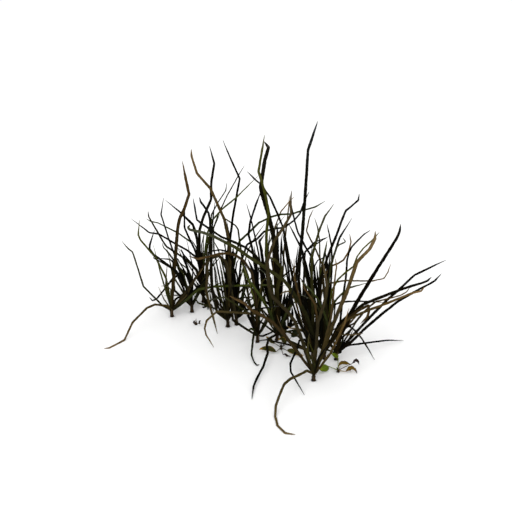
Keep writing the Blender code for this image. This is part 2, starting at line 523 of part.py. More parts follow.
def bend_clear(feet, blades):
    """Moves the bends along the sight until blades of two nodes pass each other. Returns those still tight."""
    samples = Samples(feet, blades)
    one, other = samples.meetings(len(blades))
    crown_depths = [depth for name, foot in feet.items() for _, depth in crown_marks(name, foot)]
    depths = np.concatenate([*(blade.depths for blade in blades), crown_depths])
    deepest = np.concatenate([*(blade.deepest() for blade in blades), crown_depths])
    fixed = np.concatenate([*(np.arange(len(blade.points)) < blade.fixed for blade in blades),
                            np.ones(len(crown_depths), bool)])
    deepest = np.where(fixed, depths, deepest)
    shallowest = np.where(fixed, depths, 0)
    held = fixed[samples.first] & fixed[samples.second]
    need = samples.reach[one] + samples.reach[other] + CLEAR_GAP
    free = ~(held[one] & held[other])
    trust = np.where(held[one] | held[other], CROWN_TRUST, 1)
    _, couple = np.unique(samples.blade[one] * len(depths) + samples.blade[other], return_inverse=True)
    for turn in range(CLEARING_ROUNDS):
        at = samples.depths(depths)
        gap = at[other] - at[one]
        if turn % ORDER_ROUNDS == 0:
            side = np.where(np.bincount(couple, gap * trust)[couple] > 0, 1, -1)
        missing = np.where(free, need - side * gap, 0)
        if missing.max() < LEAST_MOVE:
            break
        bad = np.flatnonzero(missing > 0)
        push = np.zeros(len(depths))
        weight = np.zeros(len(depths))
        for sample, sign in ((one[bad], -1), (other[bad], 1)):
            move = sign * side[bad] * missing[bad] * CLEARING_STEP
            for bend, share in ((samples.first[sample], 1 - samples.share[sample]),
                                (samples.second[sample], samples.share[sample])):
                np.add.at(push, bend, move * np.abs(move) * share)
                np.add.at(weight, bend, np.abs(move) * share)
        moves = np.divide(push, weight, out=np.zeros_like(push), where=weight > 0)
        depths = np.clip(depths + moves, shallowest, deepest)
    start = 0
    for blade in blades:
        blade.depths = depths[start:start + len(blade.points)]
        start += len(blade.points)
    tight = missing > STILL_TIGHT
    return set(samples.blade[one[tight]]) | set(samples.blade[other[tight]])


def clear_blades():
    """All feet and blades, bent clear, without the spare blades that couldn't be."""
    feet, blades = lay_out()
    for _ in range(CLEARING_PASSES):
        first_depths = [blade.depths.copy() for blade in blades]
        tight = bend_clear(feet, blades)
        spares = {i for i in tight if i < len(blades) and blades[i].spare}
        if not spares:
            break
        for blade, depths in zip(blades, first_depths):
            blade.depths = depths
        blades = [blade for i, blade in enumerate(blades) if i not in spares]
    return feet, blades


def clear_scene():
    for obj in list(bpy.data.objects):
        bpy.data.objects.remove(obj)


def new_collection(name):
    collection = bpy.data.collections.new(name)
    bpy.context.scene.collection.children.link(collection)
    return collection


def new_object(name, solid, collection):
    """An object of the collection with this bmesh, which is freed."""
    mesh = bpy.data.meshes.new(name)
    bmesh.ops.recalc_face_normals(solid, faces=solid.faces)
    solid.to_mesh(mesh)
    solid.free()
    obj = bpy.data.objects.new(name, mesh)
    collection.objects.link(obj)
    return obj


def crown_solid(node, foot):
    """A cut stub with a flat underside on the surface."""
    radius, height = crown_size(node)
    stub = bmesh.new()
    bmesh.ops.create_cone(stub, cap_ends=True, segments=CROWN_SIDES, radius1=radius,
                          radius2=radius * CROWN_TAPER, depth=height)
    bmesh.ops.translate(stub, vec=Vector(foot) + Vector((0, 0, height / 2)), verts=stub.verts)
    return stub


def sections(blade):
    """A blade's three-sided sections, root to tip: two edges and the keel behind them."""
    places = [Vector(place) for place in blade.places()]
    turns = blade.twist * blade.shares()
    for i, (place, width, thick, turn) in enumerate(zip(places, blade.widths, blade.thicknesses(), turns)):
        before = places[max(i - 1, 0)]
        after = places[min(i + 1, len(places) - 1)]
        along = ((place - before).normalized() + (after - place).normalized()).normalized()
        sight = (place - Vector(CAMERA)).normalized()
        across = along.cross(sight).normalized()
        behind = across.cross(along)
        across, behind = (across * math.cos(turn) + behind * math.sin(turn),
                          behind * math.cos(turn) - across * math.sin(turn))
        middle = place - behind * thick / 3
        yield [middle + across * width / 2, middle - across * width / 2, middle + behind * thick]


def blade_solid(blade):
    """The loft between a blade's sections, with its two ends closed."""
    solid = bmesh.new()
    rings = [[solid.verts.new(corner) for corner in section] for section in sections(blade)]
    for ring, following in zip(rings, rings[1:]):
        for k in range(3):
            solid.faces.new((ring[k], ring[(k + 1) % 3], following[(k + 1) % 3], following[k]))
    solid.faces.new(rings[0][::-1])
    solid.faces.new(rings[-1])
    bmesh.ops.triangulate(solid, faces=solid.faces)
    return solid


def node_tree(node, feet, blades):
    """A tree of all surfaces of one node, for measuring to them."""
    solids = [crown_solid(node, feet[node])] + [blade_solid(blade) for blade in blades if blade.node == node]
    corners = []
    faces = []
    for solid in solids:
        solid.verts.index_update()
        faces += [[len(corners) + vert.index for vert in face.verts] for face in solid.faces]
        corners += [vert.co.copy() for vert in solid.verts]
        solid.free()
    return BVHTree.FromPolygons(corners, faces)


def edge_points(solid):
    """Close points along a solid's edges."""
    points = []
    for edge in solid.edges:
        start, end = (vert.co for vert in edge.verts)
        count = max(2, math.ceil((end - start).length / PROBE_STEP))
        points += [start.lerp(end, i / count) for i in range(count + 1)]
    return points


def off_span(point, start, end):
    """A picture point's distance from the line between two others."""
    along = end - start
    share = np.clip((point - start) @ along / (along @ along), 0, 1)
    return np.linalg.norm(point - start - along * share)


def lean_on(blade, mark, tree):
    """Moves a blade along the sight until it all but touches its neighbour near a picture point."""
    for _ in range(LEANING_ROUNDS):
        solid = blade_solid(blade)
        near = [point for point in edge_points(solid) if math.dist(picture_point(point)[0], mark) < LEANING_REACH]
        solid.free()
        point = min(near, key=lambda near_point: tree.find_nearest(near_point)[3])
        place, _, _, gap = tree.find_nearest(point)
        picture = picture_point(point)[0]
        span = min(range(len(blade.points) - 1), key=lambda i: off_span(picture, *blade.points[i:i + 2]))
        toward = 1 if (place - point).dot(Vector(FORWARD)) > 0 else -1
        for i in (span, span + 1):
            if i >= blade.fixed:
                blade.depths[i] += (gap - SEAT_GAP) * toward


def material(name):
    surface = bpy.data.materials.new(name)
    surface.use_nodes = True
    shader = surface.node_tree.nodes["Principled BSDF"]
    shader.inputs["Base Color"].default_value = (*COLOURS[name], 1)
    shader.inputs["Roughness"].default_value = ROUGHNESS
    shader.inputs["Metallic"].default_value = 0
    return surface


def shells_of(solid):
    """The solid's separate shells, as lists of faces."""
    left = set(solid.faces)
    found = []
    while left:
        shell = [left.pop()]
        for face in shell:
            near = {other for edge in face.edges for other in edge.link_faces} & left
            shell += near
            left -= near
        found.append(shell)
    return found


def keep_largest_shell(mesh):
    """Fills the hollows that blades close off between them, which a union leaves as shells of their own."""
    solid = bmesh.new()
    solid.from_mesh(mesh)
    for shell in sorted(shells_of(solid), key=len)[:-1]:
        bmesh.ops.delete(solid, geom=shell, context="FACES")
    solid.to_mesh(mesh)
    solid.free()


def join(obj, helpers):
    """One union of a crown with all its blades, applied, after which the blades' own objects go."""
    union = obj.modifiers.new("union", "BOOLEAN")
    union.operation = "UNION"
    union.operand_type = "COLLECTION"
    union.collection = helpers
    union.solver = "MANIFOLD"
    graph = bpy.context.evaluated_depsgraph_get()
    joined = bpy.data.meshes.new_from_object(obj.evaluated_get(graph))
    obj.modifiers.clear()
    obj.data = joined
    keep_largest_shell(joined)
    for helper in list(helpers.objects):
        bpy.data.objects.remove(helper)


def main():
    clear_scene()
    bunch = new_collection("bunch_of_dried_grass")
    helpers = new_collection("blades_to_join")
    helpers.hide_render = True
    materials = {name: material(name) for name in COLOURS}
    feet, blades = clear_blades()
    for node, row, neighbour, mark in LEANINGS:
        leaning = [blade for blade in blades if blade.node == node][row]
        lean_on(leaning, mark, node_tree(neighbour, feet, blades))
    for node, foot in feet.items():
        obj = new_object(node, crown_solid(node, foot), bunch)
        for number, blade in enumerate(blade for blade in blades if blade.node == node):
            new_object(f"blade_{number}", blade_solid(blade), helpers).display_type = "WIRE"
        join(obj, helpers)
        colour = GREEN if node in WEEDS else TUFTS[node][0]
        obj.data.materials.clear()
        obj.data.materials.append(materials[colour])


main()
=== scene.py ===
"""The looks of a bunch of dried grass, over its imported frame.

Metres, +Z up, in the frame's own coordinates. Each blade follows the middle line that its solid has: the
layout, the bending clear and the leanings below are the source's own, from the same named values. Only a few
small leaves are moved, and the left weed's leaning is left out. Over that line comes what the solids leave
out: a folded, ribbed and wavy section, kinks that are a little rounded, fine tips, many finer blades, crowns
wrapped in torn sheaths, small curled leaves, and materials with fibres, blotches and faded ends.
"""

import math
import random

import bmesh
import bpy
import numpy as np
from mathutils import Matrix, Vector
from mathutils.bvhtree import BVHTree


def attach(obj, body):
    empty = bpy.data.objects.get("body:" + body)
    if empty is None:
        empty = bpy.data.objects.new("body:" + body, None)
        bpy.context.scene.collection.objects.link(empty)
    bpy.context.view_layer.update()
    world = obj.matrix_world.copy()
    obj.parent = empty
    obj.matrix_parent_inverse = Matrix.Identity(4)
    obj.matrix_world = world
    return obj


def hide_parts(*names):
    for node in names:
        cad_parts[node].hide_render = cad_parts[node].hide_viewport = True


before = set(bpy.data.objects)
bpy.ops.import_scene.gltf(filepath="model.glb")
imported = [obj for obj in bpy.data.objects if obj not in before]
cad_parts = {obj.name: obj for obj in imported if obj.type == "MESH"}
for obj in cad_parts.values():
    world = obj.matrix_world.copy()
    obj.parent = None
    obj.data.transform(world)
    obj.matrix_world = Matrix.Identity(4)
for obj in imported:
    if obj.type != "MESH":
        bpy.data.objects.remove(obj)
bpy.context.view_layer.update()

MM = 0.001
CM = 0.01

# Driving dimensions, as in the source
PICTURE_WIDTH = 0.72  # what the picture's width spans at the aim point
AIM_POINT = np.array([-0.031, 0.018, 0.133])  # where the camera aims, from the centre tuft's foot
CROWN_RADIUS = 2.7 * MM
CROWN_HEIGHT = 9.0 * MM
CROWN_TAPER = 0.8  # top radius over bottom radius
CROWN_SIDES = 8
WEED_RADIUS = 1.6 * MM  # the foot of a small leafy weed
WEED_HEIGHT = 5.0 * MM
ROOT_HEIGHT = 4.5 * MM  # where a blade leaves its crown's axis
LEAST_WIDTH = 1.3 * MM
LEAST_DEPTH = 0.7 * MM  # the keel's depth, which is a blade's thickness
DEPTH_OF_WIDTH = 0.28
TIP_WIDTH = 0.8 * MM
TAPER_SHARE = 0.45  # the share of a blade over which it narrows to its tip
LEAF_DEPTH = 0.8 * MM
STALK_WIDTH = 1.4 * MM
REST_GAP = 0.35 * MM  # between a blade and the surface it lies on
CLEAR_GAP = 0.4 * MM  # between blades of two nodes
SEED = 7

# The photograph's camera
PICTURE_PIXELS = 512
SENSOR_OVER_LENS = 36 / 50
ELEVATION = math.radians(30)
CAMERA_DISTANCE = PICTURE_WIDTH / SENSOR_OVER_LENS
PIXEL = PICTURE_WIDTH / PICTURE_PIXELS
FORWARD = np.array([0, math.cos(ELEVATION), -math.sin(ELEVATION)])
UPWARD = np.array([0, math.sin(ELEVATION), math.cos(ELEVATION)])
RIGHTWARD = np.array([1.0, 0, 0])
CAMERA = AIM_POINT - CAMERA_DISTANCE * FORWARD

# The colours of blades
STRAW = "straw"
OLIVE = "olive"
DARK = "dark"
GREEN = "green"
CROWN = "crown"  # a material of its own

# Where each tuft's foot is in the picture
TUFTS = {
    "left": (172, 316.5),
    "left_back": (192, 312),
    "back": (203.5, 302),
    "middle_left": (228, 326.5),
    "middle": (236.5, 324.5),
    "middle_front": (257.5, 342),
    "centre": (277, 340),
    "right": (312.5, 358),
    "right_centre": (324, 358.5),
    "right_end": (336, 359.5),
    "front": (313.5, 380.5),
}
LYING = None  # the lean of a blade whose tip lies on the surface

# A blade: its colour, its width in pixels, its tip's lean in centimetres and the picture points of its bends
BLADES = {
    "left": [
        (STRAW, 3.2, 2.5, (173, 285), (175, 262), (177.5, 229), (179.5, 219), (184.5, 208), (189, 194.3),
         (185.5, 178), (182.3, 161)),
        (STRAW, 1.8, LYING, (166.5, 305.7), (161, 305.2), (155, 304.4), (147, 308), (132.5, 322.5),
         (124.5, 340), (109.5, 347.8), (104, 348.5)),
        (STRAW, 2.2, 3, (184, 294), (195, 279), (204, 265), (212, 258.5), (220, 256)),
        (OLIVE, 1.4, -4, (163, 306), (143.5, 286.5), (134, 256), (132.5, 252), (128.5, 249), (122, 241.3)),
        (GREEN, 1.6, -7, (168.5, 290), (166, 278), (156, 258), (140.5, 240), (138.3, 235), (139.4, 220)),
        (GREEN, 2.2, -6, (182, 303.5), (198.5, 289.3), (214, 286.5), (235, 285.5), (262, 284.8),
         (285, 285.5)),
        (DARK, 1.7, 2, (190, 294.5), (199, 286.5), (205, 279), (209, 272)),
        (OLIVE, 1.1, -2, (170.5, 289), (166.5, 286.3), (161, 286)),
    ],
    "left_back": [
        (DARK, 2.2, -2, (187, 287), (176, 271), (153.5, 254.5), (149.6, 249), (149.8, 244.5), (154.5, 230)),
        (DARK, 1.2, -6, (186, 288), (173.5, 269.5), (161, 262), (153.5, 258), (155, 255.5)),
        (DARK, 1.5, 7, (188, 290), (181, 272), (172, 248), (168.5, 238), (161, 214.5), (163.7, 197.5)),
        (OLIVE, 1.2, 3, (189, 295), (184, 275), (169, 253), (163.5, 247.5), (162.2, 243)),
        (DARK, 1.1, 1, (187, 299), (183, 295.4), (176, 295.3), (164, 295.9)),
        (DARK, 1.8, 7, (186, 294), (180, 281), (176.5, 272), (172, 262)),
        (OLIVE, 1.4, 9, (193, 281), (188.5, 269.5), (180, 263), (176, 257)),
    ],
    "back": [
        (DARK, 2.0, -2, (197, 287), (186, 274.5), (180, 273.5), (172, 279.5), (157, 298.5), (152.5, 300.6),
         (149.3, 297)),
        (DARK, 1.8, 2, (203, 270), (196, 257), (186, 249.5), (175, 243.5), (158.6, 233.8), (149.4, 232.6),
         (131, 218.5)),
        (OLIVE, 1.8, 5, (201, 285), (196, 270), (186, 259.5), (166.5, 246.5), (163, 241.5), (154, 226),
         (148.8, 216.8), (148, 211)),
        (GREEN, 1.6, 9, (203, 280), (198, 260), (192, 243), (178, 233), (158, 223), (150.5, 221.4),
         (145.9, 218.5)),
        (DARK, 2.6, 0, (202, 275), (199.5, 250), (199.3, 231), (203, 218), (211, 199.5), (211.3, 182),
         (214.2, 163.5), (209.5, 146)),
        (GREEN, 1.6, -5, (203.5, 270), (205.5, 247), (208, 232), (212, 220.5), (222.5, 209), (237, 197),
         (258.5, 175.5)),
        (OLIVE, 1.3, 8, (208, 265), (210, 235), (211.5, 214.5), (217.5, 203), (225.8, 190.5), (226.8, 182.5)),
        (DARK, 1.7, 11, (202, 275), (199.5, 250), (196, 232), (193, 224), (184, 215.5), (165.3, 200)),
        (DARK, 2.0, 6, (201, 275), (196, 252), (189.5, 239), (184.5, 228), (184.3, 213), (185.5, 203)),
        (DARK, 1.8, 4, (202, 285), (197, 270), (190, 262), (178.5, 248)),
        (OLIVE, 1.2, 12, (203, 270), (203.3, 240), (205, 228)),
        (DARK, 3.0, -1, (206.5, 302.5), (208.3, 306), (208, 310)),
    ],
    "middle_left": [
        (STRAW, 2.6, 1, (229.5, 290), (230, 262), (228.5, 240), (224.5, 219.5), (217, 203), (210.5, 188.5),
         (197, 173.5), (191.7, 156.5), (191.2, 149)),
        (OLIVE, 1.2, 10, (222, 290), (214, 250), (213.5, 228), (219, 213), (227, 196), (238.5, 175.5),
         (244.5, 165.5)),
        (DARK, 2.4, -3, (217, 312), (212, 290), (210.7, 245), (210, 221), (208.5, 213), (205.5, 208.5),
         (200.5, 201.5), (199.3, 197)),
        (GREEN, 1.8, 5, (231, 290), (234, 262), (239.5, 241), (249, 232.5), (259, 222.5), (271, 217),
         (279, 214.5), (292, 213.8), (305, 209.8), (315, 207), (325.5, 201)),
        (OLIVE, 1.8, 12, (229, 290), (227.5, 262), (225, 246), (223, 238)),
    ],
    "middle": [
        (DARK, 2.2, 7, (232, 290), (230.5, 262), (230, 240), (233.5, 213), (236.5, 197), (239.8, 178.5),
         (230, 157), (222.8, 140)),
        (DARK, 1.8, 3, (238, 290), (241, 262), (247, 244.5), (256.5, 239.5), (264, 231.5), (273, 229),
         (284, 227.5), (294, 220.5), (300, 213.5), (303.5, 203), (309.3, 191.5)),
        (STRAW, 2.6, LYING, (230, 285), (226, 262), (219, 256), (211, 258), (206.5, 263), (207.5, 275),
         (206, 291), (209, 303), (213, 317), (217.5, 334)),
        (DARK, 1.6, -2, (236, 285), (233, 262), (227, 251.5), (220, 249.7), (212, 251), (203, 254.5)),
        (GREEN, 1.6, 5, (229, 295), (222.5, 265), (218, 249), (212.5, 239)),
        (OLIVE, 1.2, 4, (235, 305), (240, 298), (250, 297), (268, 299.3)),
        (OLIVE, 1.1, 11, (240, 280), (248, 250), (256.5, 235), (265, 223.5)),
    ],
    "middle_front": [
        (DARK, 2.2, 3, (257, 300), (255.5, 270), (252.5, 250), (248.5, 235), (250, 222), (256, 204),
         (262, 188)),
        (DARK, 1.4, 8, (262, 290), (260, 262), (257.5, 248), (254, 232), (250.5, 217), (246.5, 203.5)),
        (STRAW, 2.2, -3, (256, 300), (252, 273), (244, 261), (236, 255.5), (228, 253), (219, 254),
         (209, 256.5), (198, 259), (188.5, 256)),
        (OLIVE, 1.8, 11, (249, 300), (243, 265), (239.5, 241), (238, 229.5), (235.5, 225.5), (227, 220),
         (222.5, 217)),
        (GREEN, 1.4, 1, (256, 310), (253.5, 297), (250, 285), (245, 270), (241, 262)),
        (DARK, 1.5, -3, (252, 318), (251, 310), (258, 308.7), (268, 307.5), (279, 306)),
        (DARK, 1.5, -2, (263, 336), (271, 332.5), (279, 326)),
        (STRAW, 1.6, 4, (262, 330), (267, 322), (275, 310), (281, 296)),
        (OLIVE, 1.8, LYING, (254.5, 331), (252.8, 340), (251.3, 355), (254.3, 362.8), (257, 365.5),
         (259.5, 364.3)),
        (OLIVE, 1.1, 6, (262, 280), (268, 247), (274.5, 229), (285, 215.5)),
        (GREEN, 2.0, -2, (254, 330), (251, 328.5), (246.8, 331.2)),
    ],
    "centre": [
        (DARK, 4.2, 1, (277.5, 300), (276, 262), (273.5, 236), (268, 213), (263, 197), (260.7, 188),
         (262.5, 174), (264.8, 160), (268.4, 147.5), (263.8, 141.3)),
        (GREEN, 2.4, -3, (271, 305), (268.5, 282), (266, 255), (266.5, 232), (268.5, 212), (265.5, 195),
         (261, 180), (258.5, 171.5), (261.5, 153), (264.5, 135)),
        (DARK, 3.0, 6, (289, 310), (294.5, 285), (298.5, 264), (302, 238), (304.8, 200), (306.5, 175),
         (308, 150), (313, 135.5), (317.7, 121)),
        (DARK, 2.2, -1, (272, 300), (266, 272), (256, 256), (246, 247.5), (233, 241.5), (222, 237),
         (212, 230.5), (201, 223), (197, 219.5), (195, 208), (193, 198)),
        (STRAW, 1.2, 9, (275, 290), (273, 255), (275, 227), (281, 211.5), (289, 202), (294, 197)),
        (STRAW, 1.4, 12, (282, 290), (284, 250), (287, 222), (288.8, 207), (289.3, 196)),
        (GREEN, 2.2, -5, (270, 312), (262, 299), (254, 287), (240, 268)),
        (STRAW, 1.9, LYING, (274, 325), (265, 317.5), (255, 313.8), (240, 312.7), (217, 311.3),
         (206.5, 320.5), (204.6, 328.5), (206, 335), (214, 347.5)),
        (DARK, 2.0, LYING, (269, 338.5), (266.8, 345), (267.7, 353), (263.5, 366), (256.5, 379),
         (253.5, 386.5), (251.8, 399.5)),
        (STRAW, 1.4, 3, (288, 326), (288, 310), (289.5, 299), (293, 288)),
    ],
    "right": [
        (OLIVE, 3.0, -3, (313, 335), (306, 314), (297, 299), (289, 286.5), (284, 280.5), (270, 270.5),
         (250, 257.5), (236, 247.5), (226, 242.5), (212, 235.5), (203, 232.5), (189.5, 229.5), (188.2, 227.5),
         (190.5, 224.5)),
        (DARK, 2.0, 8, (304, 320), (296, 293), (290.5, 268), (286.5, 245), (283, 228), (278, 215),
         (270, 197.5), (262, 185.5), (254.5, 179), (247, 171.5)),
        (DARK, 3.0, 5, (312, 310), (308.5, 282), (304, 262), (301.5, 250), (301, 238)),
        (DARK, 1.4, 7, (297, 318), (289, 288), (286, 268), (282.5, 253), (281.3, 235)),
        (OLIVE, 2.4, 0, (313, 310), (312, 280), (311.8, 258), (315.5, 244), (319, 231.5), (325, 216.5),
         (334, 204)),
        (DARK, 1.8, 11, (303, 315), (299, 280), (300.5, 260), (306, 250.5), (316, 244), (328.5, 236.5)),
        (DARK, 2.5, 2, (317, 315), (320.5, 280), (327, 258), (336, 236), (341, 222), (345.8, 210.5),
         (358, 200.3), (359.3, 193.5)),
        (STRAW, 1.5, 5, (317, 310), (322, 280), (331, 266), (338, 263.5), (343.5, 260), (348.5, 252),
         (351, 242), (349.5, 234)),
        (STRAW, 1.4, 3, (318, 315), (322, 290), (331, 283), (345, 280.4), (372, 281), (384, 278.3),
         (388, 271.5), (390.7, 264)),
        (GREEN, 2.4, 9, (319, 310), (319.5, 285), (322, 266), (325, 252), (327.3, 240.3)),
        (DARK, 1.3, 3, (314, 300), (314.5, 266), (317.5, 260.3), (324, 257.5), (325, 250)),
        (STRAW, 1.6, 4, (302, 325), (295, 300), (290, 291), (284, 292), (280, 295)),
        (DARK, 1.6, LYING, (305, 339.5), (299.5, 340.5), (297.3, 348.5), (290.3, 363.5), (290.8, 372),
         (293.5, 376.3), (304.5, 395)),
        (STRAW, 1.0, 2, (302, 310), (297, 285), (293.5, 268), (290.8, 259)),
    ],
    "right_centre": [
        (DARK, 1.8, 9, (319, 310), (315.5, 280), (312.5, 258), (305.5, 247), (298, 232.5), (294.5, 220),
         (291.5, 207), (290.5, 199)),
        (DARK, 2.0, 13, (313, 300), (308, 272), (302, 250), (294.5, 235), (288, 222.5)),
        (OLIVE, 1.3, 14, (319, 300), (320, 262), (319.5, 240), (317.5, 227), (314.5, 218)),
        (DARK, 1.6, 8, (330, 300), (332, 265), (331.5, 246), (329, 233), (327, 224)),
        (DARK, 2.0, 4, (324, 320), (327, 282), (333, 258), (337, 246), (339.5, 238), (352, 218)),
        (OLIVE, 1.5, -3, (326, 300), (331, 265), (336, 248), (338.5, 245.2), (345.5, 241.7), (342.7, 237.8)),
        (GREEN, 1.3, 1, (329, 315), (332, 290), (338, 279.5), (345.5, 272.5), (353.3, 266.7), (357.5, 256),
         (363, 248.8), (374, 238.5), (379.5, 232)),
        (DARK, 3.3, 3, (337, 331), (350, 314), (359.5, 298), (371, 279), (385, 257), (397, 238), (400, 231),
         (400.8, 224)),
        (GREEN, 1.5, -4, (329, 325), (334.5, 302), (338.5, 297), (343.5, 292.5), (350, 287.5), (367, 283)),
        (DARK, 1.5, -6, (328, 325), (333, 305), (342, 301.8), (356, 301), (370, 301.5), (384, 302.5)),
        (STRAW, 2.0, -5, (338, 330), (346, 320.5), (357, 315), (370, 309.7), (388, 303), (411, 293.5),
         (421, 291.2), (424.7, 287)),
        (STRAW, 2.4, -2, (340, 330), (350, 317), (360, 309.5), (368.7, 305.3), (369, 311), (367.3, 316.8),
         (360.5, 323.8)),
        (DARK, 1.5, LYING, (336, 335), (343, 326), (350, 326.5), (355.5, 331), (361.5, 338), (366, 345),
         (374.7, 360)),
        (STRAW, 1.1, -3, (334, 340), (341, 334.5), (352, 334.8), (363, 333.3)),
        (DARK, 3.0, 5, (330, 325), (329.5, 300), (327.5, 280), (327, 265), (325.5, 252)),
        (GREEN, 1.8, -5, (329, 328), (324, 312), (318, 299), (311, 290), (301, 281)),
        (STRAW, 1.3, 4, (320, 336), (308, 330.5), (296, 328.7), (290, 328), (286, 325.5)),
    ],
    "right_end": [
        (STRAW, 1.4, 4, (328, 320), (324.5, 290), (322, 264), (316, 250), (306.5, 231), (309.5, 217.5),
         (313.5, 209.3)),
        (DARK, 1.8, 5, (339.5, 328), (342.5, 300), (345.7, 280), (347.3, 260), (349, 252.5), (352, 246.5),
         (364, 234.5), (370.5, 230)),
        (DARK, 2.6, 0, (341, 335), (352, 314), (363, 304.5), (372, 300.5), (400, 289.8), (412, 285.7),
         (421, 283.3), (427.5, 280.7), (431.5, 277)),
        (DARK, 2.2, 6, (346, 343), (357, 331), (372, 315), (387, 300), (399, 289.5), (414.5, 275),
         (430, 267.5), (446, 260)),
        (DARK, 2.2, -2, (350, 343), (366, 327.5), (383, 313), (399, 300.5), (415, 291.5), (434.5, 281),
         (441.5, 273.5)),
        (STRAW, 1.3, 3, (340, 332), (349, 325.7), (354, 323.5), (362, 314), (370, 306), (376, 301.5),
         (388, 298.7), (400, 295.5), (406.5, 292), (409.7, 287.5)),
        (DARK, 1.5, LYING, (342, 348), (349, 345.2), (362, 343.5), (378, 341.5), (387, 340.3),
         (403.5, 340.5)),
    ],
    "front": [
        (STRAW, 3.2, 0, (321, 357), (327, 340), (334, 322), (341, 305), (346.5, 293), (351, 279), (357, 262),
         (370, 248.5), (374.8, 239), (375.3, 231)),
        (STRAW, 2.6, 1, (316.5, 345), (318, 322), (323, 308), (326, 296), (327, 284), (324.5, 270),
         (323, 262)),
        (STRAW, 2.0, 1.5, (317, 345), (317.5, 325), (315.5, 305), (311, 297.5), (305.5, 290), (303, 284)),
        (STRAW, 2.6, -3, (296, 350), (286, 337), (272, 322), (262, 315.5), (251, 310), (244, 303),
         (236, 299.5), (229.5, 296)),
        (STRAW, 2.8, 1, (307.5, 358), (302, 340), (294.5, 321), (287, 311), (273, 297.5), (268.5, 286),
         (267, 262), (274, 241), (283, 228), (291, 214), (290.3, 203), (291.5, 190.5)),
        (STRAW, 1.8, 1, (321, 366), (330.5, 353), (336, 342), (345, 322), (349, 308)),
        (STRAW, 2.0, LYING, (307, 370.5), (303, 373), (290, 379), (284.3, 384), (279.5, 395), (275.7, 406),
         (275.2, 416.5), (277.5, 425.5), (285, 433), (295.5, 434.6)),
        (STRAW, 1.8, 2, (324, 345), (331, 318), (333.5, 295), (335.3, 276), (336.7, 267), (335.5, 258.5)),
    ],
}

# Kinds of small leaf: the face's colour, that of the margin and tip, how much it is curled, and its twist
BRIGHT = ((0.105, 0.155, 0.004), (0.170, 0.190, 0.010), 0.15, 0.3)
DEEP = ((0.010, 0.016, 0.005), (0.022, 0.036, 0.008), 0.4, 0.4)
EDGED = ((0.032, 0.032, 0.004), (0.270, 0.150, 0.010), 0.5, 0.7)
RUSTY = ((0.150, 0.090, 0.010), (0.018, 0.010, 0.004), 1.0, 1.5)
PURPLE = ((0.034, 0.018, 0.016), (0.014, 0.008, 0.006), 1.2, 1.7)
SHRIVELLED = ((0.026, 0.013, 0.008), (0.012, 0.007, 0.005), 1.5, 2.4)

# The small leafy weeds among the crowns: the foot's picture point, then each leaf's kind, its width in pixels
# and its base, middle and tip as picture points with their heights in millimetres
WEEDS = {
    "weed_left": ((196, 324.5), [
        (SHRIVELLED, 3.0, (195.5, 324, 2.5), (194.3, 322.3, 4), (192.8, 321, 5)),
        (SHRIVELLED, 3.0, (198, 323.5, 4), (199.5, 322, 6), (201, 320.5, 8)),
    ]),
    "weed_centre": ((281, 349), [
        (EDGED, 5.5, (276, 352, 4), (269, 348.5, 7), (259, 349.5, 5)),
        (EDGED, 4.5, (275, 343.5, 7), (270.5, 340, 10), (266, 336.5, 12)),
        (EDGED, 4.8, (285.3, 345, 6), (282.8, 339.5, 10), (278, 340, 11)),
        (SHRIVELLED, 2.6, (283, 354.5, 2), (287, 355, 2.5), (291, 356.3, 2)),
        (EDGED, 6.0, (287, 350.5, 5), (294.5, 351.5, 7), (303.5, 356, 4)),
        (DEEP, 7.0, (291.5, 337, 13), (295.5, 333, 18), (300, 330.5, 21)),
        (DEEP, 6.0, (283, 338, 11), (284, 330, 19), (286, 321.5, 26)),
    ]),
    "weed_right": ((338, 372), [
        (BRIGHT, 7.5, (328, 366, 3), (324, 368.3, 5), (319.7, 369.5, 7)),
        (BRIGHT, 4.0, (338, 357.5, 9), (335.5, 355.5, 11), (331.5, 353.5, 12)),
        (RUSTY, 4.6, (338.5, 366.5, 4), (344.5, 362.8, 6), (351.5, 364.8, 7)),
        (RUSTY, 5.5, (345.5, 371.5, 2.5), (351.5, 368.6, 4), (357, 373.4, 2.5)),
        (PURPLE, 4.2, (352, 363.5, 8), (355.5, 360.8, 11), (359, 364.5, 11)),
    ]),
}

# Where a blade leans on a neighbouring tuft: its tuft, its row, the neighbour and the picture point
LEANINGS = [
    ("left_back", 2, "back", (168.8, 239.1)),
    ("middle_left", 0, "left", (228.4, 284)),
    ("middle", 1, "centre", (275.4, 228.7)),
    ("left", 2, "back", (204, 265)),
    ("middle_front", 1, "middle_left", (253.5, 229)),
    ("centre", 7, "middle_front", (256, 314)),
    ("right", 11, "centre", (280, 295)),
    ("right_centre", 1, "right", (317, 324)),
    ("right_centre", 12, "right_end", (345, 327)),
    ("weed_centre", 6, "centre", (284, 330)),
    ("weed_right", 1, "right_end", (336, 356)),
    ("front", 0, "right_centre", (326, 335)),
]

# The short inner blades of each tuft, by rule, in pixels
SHORT_BLADES = 5
SHORT_LENGTH = (28, 78)
SHORT_WIDTH = (1.0, 1.9)
SHORT_SLANT = 0.6  # radians to each side of upright
SHORT_BEND = 0.5
SHORT_KNEE = 0.6
SHORT_LEAN = (-3, 9)  # centimetres

